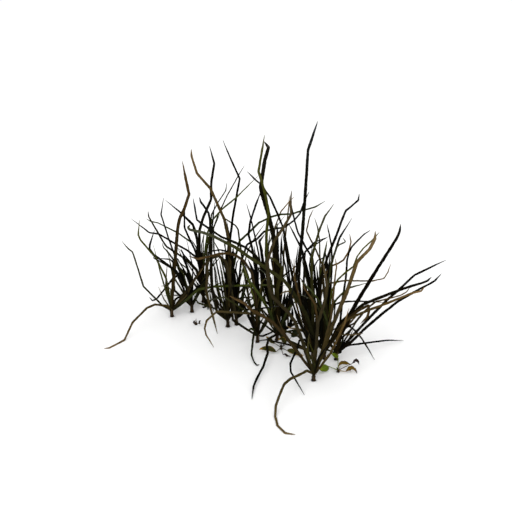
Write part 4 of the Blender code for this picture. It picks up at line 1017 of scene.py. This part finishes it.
# Light and floor
FLOOR_SIZE = 14.0
FLOOR_COLOUR = (0.96, 0.96, 0.957)
WORLD_STRENGTH = 1.02
KEY_LIGHT = ((-0.9, -1.0, 1.9), 1.5, 12.0)  # place, side and watts
FILL_LIGHT = ((1.5, 0.9, 1.5), 1.8, 4.0)
LENS = 50
SENSOR = LENS * SENSOR_OVER_LENS


def unit(vectors):
    return vectors / np.linalg.norm(vectors, axis=-1, keepdims=True)


def waves(along, dice):
    """An uneven wave between about -1 and 1 down a length, of its own each time."""
    total = np.zeros(len(along))
    for length in WAVELENGTHS:
        total += np.sin(2 * math.pi * (along / length / dice.uniform(*WAVELENGTH_CHANGE) + dice.random()))
    return total / len(WAVELENGTHS)


def swell(angles, dice):
    """A sine wave with a start of its own each time."""
    return np.sin(angles + dice.uniform(*SWELL_STARTS))


class Piece:
    """A mesh in the making: lofts, and at each corner what the materials read."""

    def __init__(self):
        self.corners = []
        self.faces = []
        self.fibres = []  # millimetres across, millimetres along and a number for the strip
        self.reaches = []  # the share of the length, the strip's own shade, and how near an edge
        self.tints = []
        self.rims = []
        self.count = 0

    def loft(self, rings, fibre, reach, colours=None):
        """Rings of corners joined one to the next, with closed ends. Each of the three values of fibre and of
        reach is one number, or one for each ring, mark or corner."""
        ring_count, corner_count = rings.shape[:2]
        number = self.count + np.arange(ring_count * corner_count).reshape(ring_count, corner_count)
        following = np.roll(number, -1, axis=1)
        sides = np.stack([number[:-1], following[:-1], following[1:], number[1:]], axis=-1)
        self.faces += sides.reshape(-1, 4).tolist()
        self.faces += [number[0, ::-1].tolist(), number[-1].tolist()]
        self.corners.append(rings.reshape(-1, 3))
        for kept, values in ((self.fibres, fibre), (self.reaches, reach)):
            values = [np.broadcast_to(value, number.shape) for value in values]
            kept.append(np.stack(values, axis=-1).reshape(-1, 3))
        if colours:
            for kept, colour in ((self.tints, colours[0]), (self.rims, colours[1])):
                kept.append(np.tile([*colour, 1.0], (number.size, 1)))
        self.count += number.size

    def strip(self, rings, asides, along, marks, number, shade, colours=None):
        """The rings of a thin strip, whose corners tell how far across and along it they are."""
        self.loft(rings, (asides / MM, along[:, None] / MM, number * STRIP_STEP),
                  ((along / along[-1])[:, None], shade, np.abs(marks)), colours)

    def finish(self, name, node, slot, surface):
        """Makes the piece an object that rides on the root and stands for its node."""
        mesh = bpy.data.meshes.new(name)
        mesh.from_pydata(np.concatenate(self.corners), [], self.faces)
        for key, field, values in (("fibre", "vector", self.fibres), ("reach", "vector", self.reaches),
                                   ("tint", "color", self.tints), ("rim", "color", self.rims)):
            if values:
                attribute = mesh.attributes.new(key, f"FLOAT_{field.upper()}", "POINT")
                attribute.data.foreach_set(field, np.concatenate(values).astype(np.float32).ravel())
        mesh.validate()
        mesh.shade_smooth()
        mesh.set_sharp_from_angle(angle=SHARP_EDGE)
        mesh.materials.append(surface)
        obj = bpy.data.objects.new(name, mesh)
        bpy.context.scene.collection.objects.link(obj)
        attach(obj, "root")
        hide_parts(node)


def rounded_line(places):
    """Close places along a bent line, with each bend a little rounded, and at each place its bend number."""
    lengths = np.linalg.norm(np.diff(places, axis=0), axis=1)
    rounds = [0, *np.minimum(KINK_ROUND, KINK_SHARE * np.minimum(lengths[:-1], lengths[1:])), 0]
    line = []
    for i, length in enumerate(lengths):
        start, end = places[i], places[i + 1]
        near, far = rounds[i] / length, rounds[i + 1] / length
        count = max(1, round(length * (1 - near - far) / RING_STEP))
        for share in np.linspace(near, 1 - far, count + 1):
            line.append((i + share, *(start + (end - start) * share)))
        if i < len(lengths) - 1:
            out = rounds[i + 1] / lengths[i + 1]
            into, onward = end - (end - start) * far, end + (places[i + 2] - end) * out
            for share in KINK_PARTS:
                bend = (1 - share) * (i + 1 - far) + share * (i + 1 + out)
                place = (1 - share) ** 2 * into + 2 * share * (1 - share) * end + share ** 2 * onward
                line.append((bend, *place))
    line = np.array(line)
    return line[:, 1:], line[:, 0]


def lengths_along(line):
    return np.concatenate([[0], np.cumsum(np.linalg.norm(np.diff(line, axis=0), axis=1))])


def turned(across, behind, turn):
    """The two directions, turned about the line by an angle at each place."""
    cos, sin = np.cos(turn)[:, None], np.sin(turn)[:, None]
    return across * cos + behind * sin, behind * cos - across * sin


def round_section(front):
    """The marks across a thin section, along its front and back behind it, and the side that each is on."""
    marks = np.array([*front, *front[-2:0:-1]])
    return marks, np.where(np.arange(len(marks)) < len(front), -1, 1)


def by_half(pair, marks):
    """At each ring and mark the value for its half of the width."""
    return np.where(marks > 0, pair[1][:, None], pair[0][:, None])


def corners_along(line, across, behind, asides, depths):
    """The corners of the rings along a line, each so far across and behind."""
    return line[:, None] + across[:, None] * asides[..., None] + behind[:, None] * depths[..., None]


def round_axis(radii, turns, heights):
    """Places round an upright axis."""
    return np.stack(np.broadcast_arrays(radii * np.cos(turns), radii * np.sin(turns), heights), axis=-1)


def blade_widths(blade, along, bends, dice):
    """A blade's width at each ring."""
    widths = max(blade.width + FULLNESS, THINNEST) * (1 - NARROWING * blade.shares() ** NARROWING_POWER)
    widths[:2] = np.minimum(widths[:2], ROOT_WIDTH)
    widths = np.interp(bends, np.arange(len(widths)), widths) * (1 + WIDTH_CHANGE * waves(along, dice))
    pointed = np.minimum((len(blade.points) - 1 - bends) / POINT_SPAN, 1) ** POINT_POWER
    return HAIR_WIDTH + (widths - HAIR_WIDTH) * pointed


def add_blade(piece, blade, number, dice):
    """A blade of grass along its bends: a folded strip with a midrib and rippled edges."""
    line, bends = rounded_line(np.array(blade.places()))
    along = lengths_along(line)
    share = along / along[-1]
    ahead = unit(np.gradient(line, axis=0))
    across = unit(np.cross(ahead, unit(line - CAMERA)))
    behind = np.cross(across, ahead)
    steady = np.minimum(share / STEADY_SHARE, 1)
    wander = across * waves(along, dice)[:, None] + behind * waves(along, dice)[:, None]
    line = line + wander * (WANDER * steady)[:, None]
    widths = blade_widths(blade, along, bends, dice)
    turn = blade.twist * share + TWIST_CHANGE * waves(along, dice) * steady
    across, behind = turned(across, behind, turn)
    fold = FOLD_DEPTH * widths * (1 + FOLD_CHANGE * waves(along, dice))
    walls = np.minimum(WALL, WALL_OF_WIDTH * widths)[:, None]
    rises = [RIPPLE * widths * waves(along, dice) for _ in range(2)]
    marks, sides = round_section(BLADE_MARKS)
    sizes = np.abs(marks)
    wall = walls * (1 - (1 - EDGE_WALL) * sizes) / 2
    rib = MIDRIB * (walls / WALL) * ((marks == 0) & (sides > 0))
    depths = fold[:, None] * (FOLD_LEVEL - sizes ** FOLD_POWER) + sides * (wall + rib)
    depths = depths + by_half(rises, marks) * sizes ** 2
    asides = np.outer(widths / 2, marks)
    rings = corners_along(line, across, behind, asides, depths)
    piece.strip(rings, asides, along, marks, number, dice.random())


def add_core(piece, node, foot, dice):
    """The crown's stub: a ridged, slightly uneven cone with a flat underside."""
    radius, height = CORE_SIZE * np.array(crown_size(node))
    turns = np.arange(CORE_SIDES) / CORE_SIDES * 2 * math.pi
    uneven = 1 + sum(size * swell(count * turns, dice) for count, size in CORE_LOBES)
    ridges = RIDGE_HEIGHT * np.abs(swell(turns * CORE_RIDGES / 2, dice))
    ups = np.linspace(0, 1, CORE_RINGS)[:, None]
    swelling = 1 + CORE_SWELL * swell(ups * CORE_SWELL_TURN, dice)
    radii = radius * (1 - (1 - CROWN_TAPER) * ups) * swelling
    radii[-1] *= CORE_TOP
    rings = foot + round_axis(radii * (uneven - ridges), turns, ups * height)
    piece.loft(rings, (turns * radius / MM, ups * height / MM, dice.uniform(*CORE_STRIPS)),
               (ups * CORE_SHARE, dice.random(), HALF_EDGE))


def add_sheath(piece, node, foot, number, dice):
    """A dry leaf sheath that wraps part of the crown, flared at the cut and torn to a point at its top."""
    radius, height = crown_size(node)
    ups = np.linspace(0, 1, SHEATH_RINGS)
    top = height * dice.uniform(*SHEATH_TOP)
    heights = dice.uniform(*SHEATH_BOTTOM) * height * (1 - ups) + top * ups
    seat = SHEATH_SEAT + SHEATH_LAYER * (number % SHEATH_LAYERS)
    radii = radius * (seat - SHEATH_TAPER * np.minimum(heights / height, SHEATH_TAPER_TOP))
    radii = radii + dice.uniform(*SHEATH_FLARE) * ups ** SHEATH_FLARE_POWER
    radii = radii + dice.uniform(*FOOT_FLARE) * (1 - ups) ** FOOT_FLARE_POWER
    facing = number * 2 * math.pi / SHEATHS + dice.uniform(-SHEATH_SPREAD, SHEATH_SPREAD)
    facing = facing + dice.uniform(-SHEATH_SWEEP, SHEATH_SWEEP) * ups ** 2
    half_turns = dice.uniform(*SHEATH_WIDTH) * (1 - ups ** SHEATH_POINT_POWER * SHEATH_POINT)
    half_turns = half_turns * (1 + SHEATH_TORN * waves(SHEATH_TORN_PACE * heights, dice))
    marks, sides = round_section(BLADE_MARKS)
    turns = facing[:, None] + np.outer(half_turns, marks)
    walls = SHEATH_WALL / 2 * (1 - SHEATH_THINNING * np.abs(marks))
    out = radii[:, None] - sides * walls + radius * SHEATH_TILT * marks
    lifts = SHEATH_RAGGED * np.sin(marks * SHEATH_RAGGED_TURN + number) * ups[:, None]
    rings = foot + round_axis(out, turns, heights[:, None] + lifts)
    rings[..., 2] = np.maximum(rings[..., 2], 0)
    asides = np.outer(half_turns * radius, marks)
    piece.strip(rings, asides, heights, marks, number + SHEATH_STRIPS, dice.random())


def add_root_hair(piece, node, foot, number, dice):
    """A short torn fibre at the cut, which lies on the surface."""
    radius = crown_size(node)[0]
    facing = dice.uniform(0, 2 * math.pi)
    length = dice.uniform(*ROOT_HAIR_LENGTH) * radius / CROWN_RADIUS
    shares = np.linspace(0, 1, ROOT_HAIR_RINGS)
    turns = facing + dice.uniform(-ROOT_HAIR_TURN, ROOT_HAIR_TURN) * shares ** 2
    heights = (1 - shares) ** 2 * dice.uniform(*ROOT_HAIR_HEIGHT) + ROOT_HAIR_WIDTH * ROOT_HAIR_SEAT
    halves = ROOT_HAIR_WIDTH / 2 * np.linspace(*ROOT_HAIR_TAPER, ROOT_HAIR_RINGS)
    middle = foot + round_axis(radius * ROOT_HAIR_START + length * shares, turns, heights)
    aside = round_axis(halves, turns + math.pi / 2, 0)
    up = np.outer(halves, (0, 0, 1))
    rings = np.stack([middle + aside, middle + up, middle - aside, middle - up], axis=1)
    piece.loft(rings, (0, number * ROOT_HAIR_STEP, number * STRIP_STEP),
               (ROOT_HAIR_SHARE, dice.random(), HALF_EDGE))


def make_crown(node, foot, surface):
    dice = random.Random(f"crown {node} {SEED}")
    piece = Piece()
    add_core(piece, node, foot, dice)
    for number in range(SHEATHS):
        add_sheath(piece, node, foot, number, dice)
    for number in range(ROOT_HAIRS):
        add_root_hair(piece, node, foot, number, dice)
    piece.finish(f"{node}_crown", node, STRAW, surface)


def curve_through(marks, count):
    """A parabola through three places, from the first to the last."""
    shares = np.linspace(0, 1, count)[:, None]
    control = 2 * marks[1] - (marks[0] + marks[2]) / 2
    return (1 - shares) ** 2 * marks[0] + 2 * shares * (1 - shares) * control + shares ** 2 * marks[2]


def add_stalk(piece, places, kind, number):
    """A leaf's thin stalk, from the weed's foot."""
    line = np.linspace(places[0], places[1], STALK_RINGS)
    ahead = unit(places[1] - places[0])
    across = unit(np.cross(ahead, STALK_SIDE))
    turns = np.arange(STALK_SIDES) / STALK_SIDES * 2 * math.pi
    ring = np.outer(np.cos(turns), across) + np.outer(np.sin(turns), np.cross(across, ahead))
    rings = line[:, None] + STALK_RADIUS * ring * np.linspace(*STALK_TAPER, STALK_RINGS)[:, None, None]
    ups = np.linspace(0, 1, STALK_RINGS)[:, None]
    piece.loft(rings, (turns, ups * STALK_LENGTH, number * STRIP_STEP),
               (ups * STALK_SHARE, STALK_SHADE, 0), kind)


def add_leaf(piece, blade, number, dice):
    """A small leaf: a stalk, and a pointed oval with a midrib, uneven halves and curled, ragged edges."""
    places = np.array(blade.places())
    add_stalk(piece, places, blade.kind, number)
    line = curve_through(places[1:], LEAF_RINGS)
    along = lengths_along(line)
    share = along / along[-1]
    ahead = unit(np.gradient(line, axis=0))
    across = unit(np.cross(ahead, unit(line - CAMERA)))
    _, _, curl, twist = blade.kind
    turn = dice.choice((-1, 1)) * twist * (share - TWIST_MIDDLE) + dice.uniform(-LEAF_TURN, LEAF_TURN)
    across, behind = turned(across, np.cross(across, ahead), turn)
    outline = np.abs(np.sin(math.pi * share ** LEAF_SKEW)) ** (LEAF_POINT + CURL_POINT * curl)
    halves = [dice.uniform(1 - UNEVEN_HALF * curl, 1)
              * (1 + LEAF_RAGGED * curl * waves(along * LEAF_RAGGED_PACE, dice)) for _ in range(2)]
    ripples = [LEAF_WAVE * waves(along * LEAF_WAVE_PACE, dice) for _ in range(2)]
    marks, sides = round_section(LEAF_MARKS)
    sizes = np.abs(marks)
    fullest = (blade.width / 2 * outline + LEAF_STUB)[:, None]
    reaches = fullest * by_half(halves, marks)
    rises = reaches * (curl * sizes ** CURL_POWER + by_half(ripples, marks) * sizes ** 2)
    walls = LEAF_WALL / 2 * (1 - LEAF_THINNING * sizes) + LEAF_MIDRIB * (marks == 0)
    rings = corners_along(line, across, behind, reaches * marks, sides * walls - rises)
    rings[..., 2] = np.maximum(rings[..., 2], LEAF_SEAT)
    piece.strip(rings, fullest * marks, along, marks, number, dice.random(), blade.kind)


def fine_rows(dice, foot_point, count, slants, lengths):
    """A tuft's fine blades, as rows like those of BLADES."""
    for _ in range(count):
        slant = math.radians(dice.uniform(*slants))
        length = dice.uniform(*lengths)
        point = foot_point
        bends = []
        for share in FINE_JOINTS:
            point = (point[0] + share * length * math.sin(slant), point[1] - share * length * math.cos(slant))
            bends.append(point)
            slant += dice.uniform(-FINE_BEND, FINE_BEND)
        yield (dice.choice(FINE_COLOURS), dice.uniform(*FINE_WIDTH), dice.uniform(*FINE_LEAN), *bends)


def add_fine_blades(feet, blades):
    """All blades with the fine ones, which alone are moved along the sight to pass the others."""
    fine = []
    for tuft, rows in FINE_BLADES.items():
        dice = random.Random(f"fine {tuft} {SEED}")
        seeded = list(fine_rows(dice, TUFTS[tuft], *SEEDED_BLADES[tuft]))
        for number, row in enumerate(rows + seeded):
            blade = grass_blade(tuft, feet[tuft], number, row, dice.uniform(-TWIST, TWIST), True)
            wavers = [dice.uniform(-FINE_WAVER, FINE_WAVER) for _ in blade.depths[2:]]
            blade.depths[2:] += wavers * blade.shares()[2:]
            fine.append(blade)
    for blade in blades:
        blade.fixed = len(blade.points)
    bend_clear(feet, blades + fine, FINE_CLEARING_ROUNDS)
    return blades + fine


def make_tuft(node, blades, surfaces):
    """A tuft's blades, one piece of each colour."""
    pieces = {}
    for number, blade in enumerate(blades):
        dice = random.Random(f"blade {node} {number} {SEED}")
        add_blade(pieces.setdefault(blade.colour, Piece()), blade, number, dice)
    for colour, piece in pieces.items():
        piece.finish(f"{node}_{colour}_blades", node, colour, surfaces[colour])


def make_weed(node, leaves, surface):
    piece = Piece()
    for number, leaf in enumerate(leaves):
        add_leaf(piece, leaf, number, random.Random(f"leaf {node} {number} {SEED}"))
    piece.finish(f"{node}_leaves", node, GREEN, surface)


class Surface:
    """A material in the making, whose nodes are added with their inputs."""

    def __init__(self, name, specular):
        self.material = bpy.data.materials.new(name)
        self.material.use_nodes = True
        self.tree = self.material.node_tree
        self.shader = self.tree.nodes["Principled BSDF"]
        self.shader.inputs["Specular IOR Level"].default_value = specular

    def add(self, kind, inputs=(), **settings):
        node = self.tree.nodes.new(kind)
        for key, value in settings.items():
            setattr(node, key, value)
        for key, value in dict(inputs).items():
            self.put(node.inputs[key], value)
        return node

    def put(self, socket, value):
        if isinstance(value, bpy.types.NodeSocket):
            self.tree.links.new(value, socket)
        else:
            socket.default_value = value

    def attribute(self, name, output):
        return self.add("ShaderNodeAttribute", attribute_name=name).outputs[output]

    def marks(self):
        """What a piece's corners carry: the vector of fibre, and the three values of reach."""
        reach = self.add("ShaderNodeSeparateXYZ", {0: self.attribute("reach", "Vector")})
        return self.attribute("fibre", "Vector"), *reach.outputs

    def maths(self, operation, first, second=0.0):
        return self.add("ShaderNodeMath", {0: first, 1: second}, operation=operation).outputs[0]

    def product(self, first, *others):
        for other in others:
            first = self.maths("MULTIPLY", first, other)
        return first

    def span(self, value, source, target=WHOLE):
        """The value, from one range to another, and held there."""
        sockets = ("Value", "From Min", "From Max", "To Min", "To Max")
        inputs = dict(zip(sockets, (value, *source, *target)))
        return self.add("ShaderNodeMapRange", inputs, interpolation_type="SMOOTHSTEP").outputs[0]

    def mix(self, share, first, second):
        node = self.add("ShaderNodeMix", {0: share}, data_type="RGBA")
        for socket, value in ((node.inputs[6], first), (node.inputs[7], second)):
            self.put(socket, (*value, 1) if isinstance(value, tuple) else value)
        return node.outputs[2]

    def toned(self, colour, *tones):
        """The colour, times a tone for its red, green and blue."""
        factors = self.add("ShaderNodeCombineXYZ", dict(enumerate(tones))).outputs[0]
        return self.add("ShaderNodeVectorMath", {0: colour, 1: factors}, operation="MULTIPLY").outputs[0]

    def ramp(self, value, stops):
        node = self.add("ShaderNodeValToRGB", {"Fac": value})
        elements = node.color_ramp.elements
        while len(elements) < len(stops):
            elements.new(0.5)
        for element, (place, colour) in zip(elements, stops):
            element.position = place
            element.color = (*colour, 1)
        return node.outputs["Color"]

    def noise(self, vector, grain):
        """Noise over a vector that is stretched by a number for each axis."""
        stretched = self.add("ShaderNodeVectorMath", {0: vector, 1: grain}, operation="MULTIPLY").outputs[0]
        inputs = {"Vector": stretched, "Scale": 1.0, "Detail": NOISE_DETAIL, "Roughness": NOISE_ROUGHNESS}
        return self.add("ShaderNodeTexNoise", inputs).outputs["Fac"]

    def bump(self, height, distance, strength, below=None):
        inputs = {"Height": height, "Distance": distance, "Strength": strength}
        if below is not None:
            inputs["Normal"] = below
        return self.add("ShaderNodeBump", inputs).outputs["Normal"]

    def finish(self, colour, roughness, normal):
        self.put(self.shader.inputs["Base Color"], colour)
        self.put(self.shader.inputs["Roughness"], roughness)
        self.put(self.shader.inputs["Normal"], normal)
        return self.material


def grass_surface(name, stops, spot, spot_share, shade, midrib, specular, rough):
    """Dry grass: long fibres, blotches, a tint of each blade's own, and ends that fade."""
    surface = Surface(name, specular)
    fibre, share, own, edge = surface.marks()
    drift = surface.noise(fibre, DRIFT_GRAIN)
    streaks = surface.noise(fibre, STREAK_GRAIN)
    blotches = surface.noise(fibre, BLOTCH_GRAIN)
    specks = surface.noise(fibre, SPECK_GRAIN)
    wrinkles = surface.noise(fibre, WRINKLE_GRAIN)
    # the colours along the length: darker roots are partly the grass's own colour and partly painted shade
    # deep in the bunch
    colour = surface.ramp(surface.maths("ADD", share, surface.span(drift, NOISE_MIDDLE, FADING)), stops)
    spotted = surface.span(blotches, (BLOTCH_START - spot_share, BLOTCH_FULL), BLOTCH_STRENGTH)
    colour = surface.mix(spotted, colour, spot)
    tone = surface.product(surface.span(own, WHOLE, (1 - shade, 1 + shade)),
                           surface.span(streaks, STREAK_RANGE, STREAK_TONES),
                           surface.span(specks, NOISE_MIDDLE, SPECK_TONES),
                           surface.span(edge, MIDRIB_RANGE, (1 + midrib, 1.0)))
    warmth = surface.maths("FRACT", surface.product(own, WARMTH_PACE))
    red = surface.product(tone, surface.span(warmth, WHOLE, WARM_REDS))
    blue = surface.product(tone, surface.span(warmth, WHOLE, WARM_BLUES))
    normal = surface.bump(wrinkles, *WRINKLE_BUMP)
    normal = surface.bump(streaks, *STREAK_BUMP, below=normal)
    roughness = surface.span(streaks, NOISE_MOST, (rough + ROUGH_MORE, rough - ROUGH_LESS))
    return surface.finish(surface.toned(colour, red, tone, blue), roughness, normal)


def leaf_surface():
    """A small drying leaf: side veins, a margin of another colour, and mottled tones."""
    surface = Surface("leaf", LEAF_SPECULAR)
    fibre, share, _, edge = surface.marks()
    across, along, _ = surface.add("ShaderNodeSeparateXYZ", {0: fibre}).outputs
    blotches = surface.noise(fibre, LEAF_BLOTCH_GRAIN)
    specks = surface.noise(fibre, LEAF_SPECK_GRAIN)
    tip = surface.span(share, *MARGIN_AT_TIP)
    margin = surface.maths("MAXIMUM", surface.product(edge, MARGIN_AT_EDGE), tip)
    margin = surface.maths("ADD", margin, surface.span(blotches, NOISE_MOST, MARGIN_CHANGE))
    colour = surface.mix(surface.span(margin, MARGIN_RANGE),
                         surface.attribute("tint", "Color"), surface.attribute("rim", "Color"))
    back = surface.product(surface.maths("ABSOLUTE", across), VEIN_SLANT)
    veins = surface.maths("SINE", surface.product(surface.maths("SUBTRACT", along, back), VEIN_PACE))
    vein = surface.span(veins, VEIN_RANGE)
    tone = surface.product(surface.span(specks, NOISE_MIDDLE, LEAF_SPECK_TONES),
                           surface.span(vein, WHOLE, VEIN_TONES),
                           surface.span(edge, LEAF_MIDRIB_RANGE, LEAF_MIDRIB_TONES))
    normal = surface.bump(specks, *LEAF_SPECK_BUMP)
    normal = surface.bump(vein, *VEIN_BUMP, below=normal)
    roughness = surface.span(specks, NOISE_MOST, LEAF_ROUGHNESS)
    return surface.finish(surface.toned(colour, tone, tone, tone), roughness, normal)


def make_floor():
    """A plain pale floor."""
    mesh = bpy.data.meshes.new("floor")
    half = FLOOR_SIZE / 2
    corners = [(-half, -half, 0), (half, -half, 0), (half, half, 0), (-half, half, 0)]
    mesh.from_pydata(corners, [], [(0, 1, 2, 3)])
    surface = Surface("floor", 0.0)
    surface.put(surface.shader.inputs["Base Color"], (*FLOOR_COLOUR, 1))
    surface.put(surface.shader.inputs["Roughness"], 1.0)
    mesh.materials.append(surface.material)
    floor = bpy.data.objects.new("floor", mesh)
    bpy.context.scene.collection.objects.link(floor)


def add_light(name, place, side, watts):
    """A soft square light that faces the bunch."""
    light = bpy.data.lights.new(name, "AREA")
    light.size = side
    light.energy = watts
    obj = bpy.data.objects.new(name, light)
    obj.location = place
    obj.rotation_euler = (Vector(AIM_POINT) - Vector(place)).to_track_quat("-Z", "Y").to_euler()
    bpy.context.scene.collection.objects.link(obj)


def make_light():
    world = bpy.data.worlds.new("studio")
    world.use_nodes = True
    background = world.node_tree.nodes["Background"]
    background.inputs["Color"].default_value = (1, 1, 1, 1)
    background.inputs["Strength"].default_value = WORLD_STRENGTH
    bpy.context.scene.world = world
    add_light("key", *KEY_LIGHT)
    add_light("fill", *FILL_LIGHT)
    bpy.context.scene.view_settings.view_transform = "Standard"


def make_camera():
    data = bpy.data.cameras.new("camera")
    data.lens = LENS
    data.sensor_width = SENSOR
    camera = bpy.data.objects.new("camera", data)
    camera.location = CAMERA
    camera.rotation_euler = Vector(FORWARD).to_track_quat("-Z", "Y").to_euler()
    bpy.context.scene.collection.objects.link(camera)
    bpy.context.scene.camera = camera


def main():
    feet, blades = clear_blades()
    for node, row, neighbour, mark in LEANINGS:
        leaning = [blade for blade in blades if blade.node == node][row]
        lean_on(leaning, mark, node_tree(neighbour, feet, blades))
    blades = add_fine_blades(feet, blades)
    surfaces = {name: grass_surface(name, **look) for name, look in GRASSES.items()}
    leaf = leaf_surface()
    for node, foot in feet.items():
        own = [blade for blade in blades if blade.node == node]
        make_crown(node, foot, surfaces[CROWN])
        if node in WEEDS:
            make_weed(node, own, leaf)
        else:
            make_tuft(node, own, surfaces)
    make_camera()
    make_light()
    make_floor()


main()
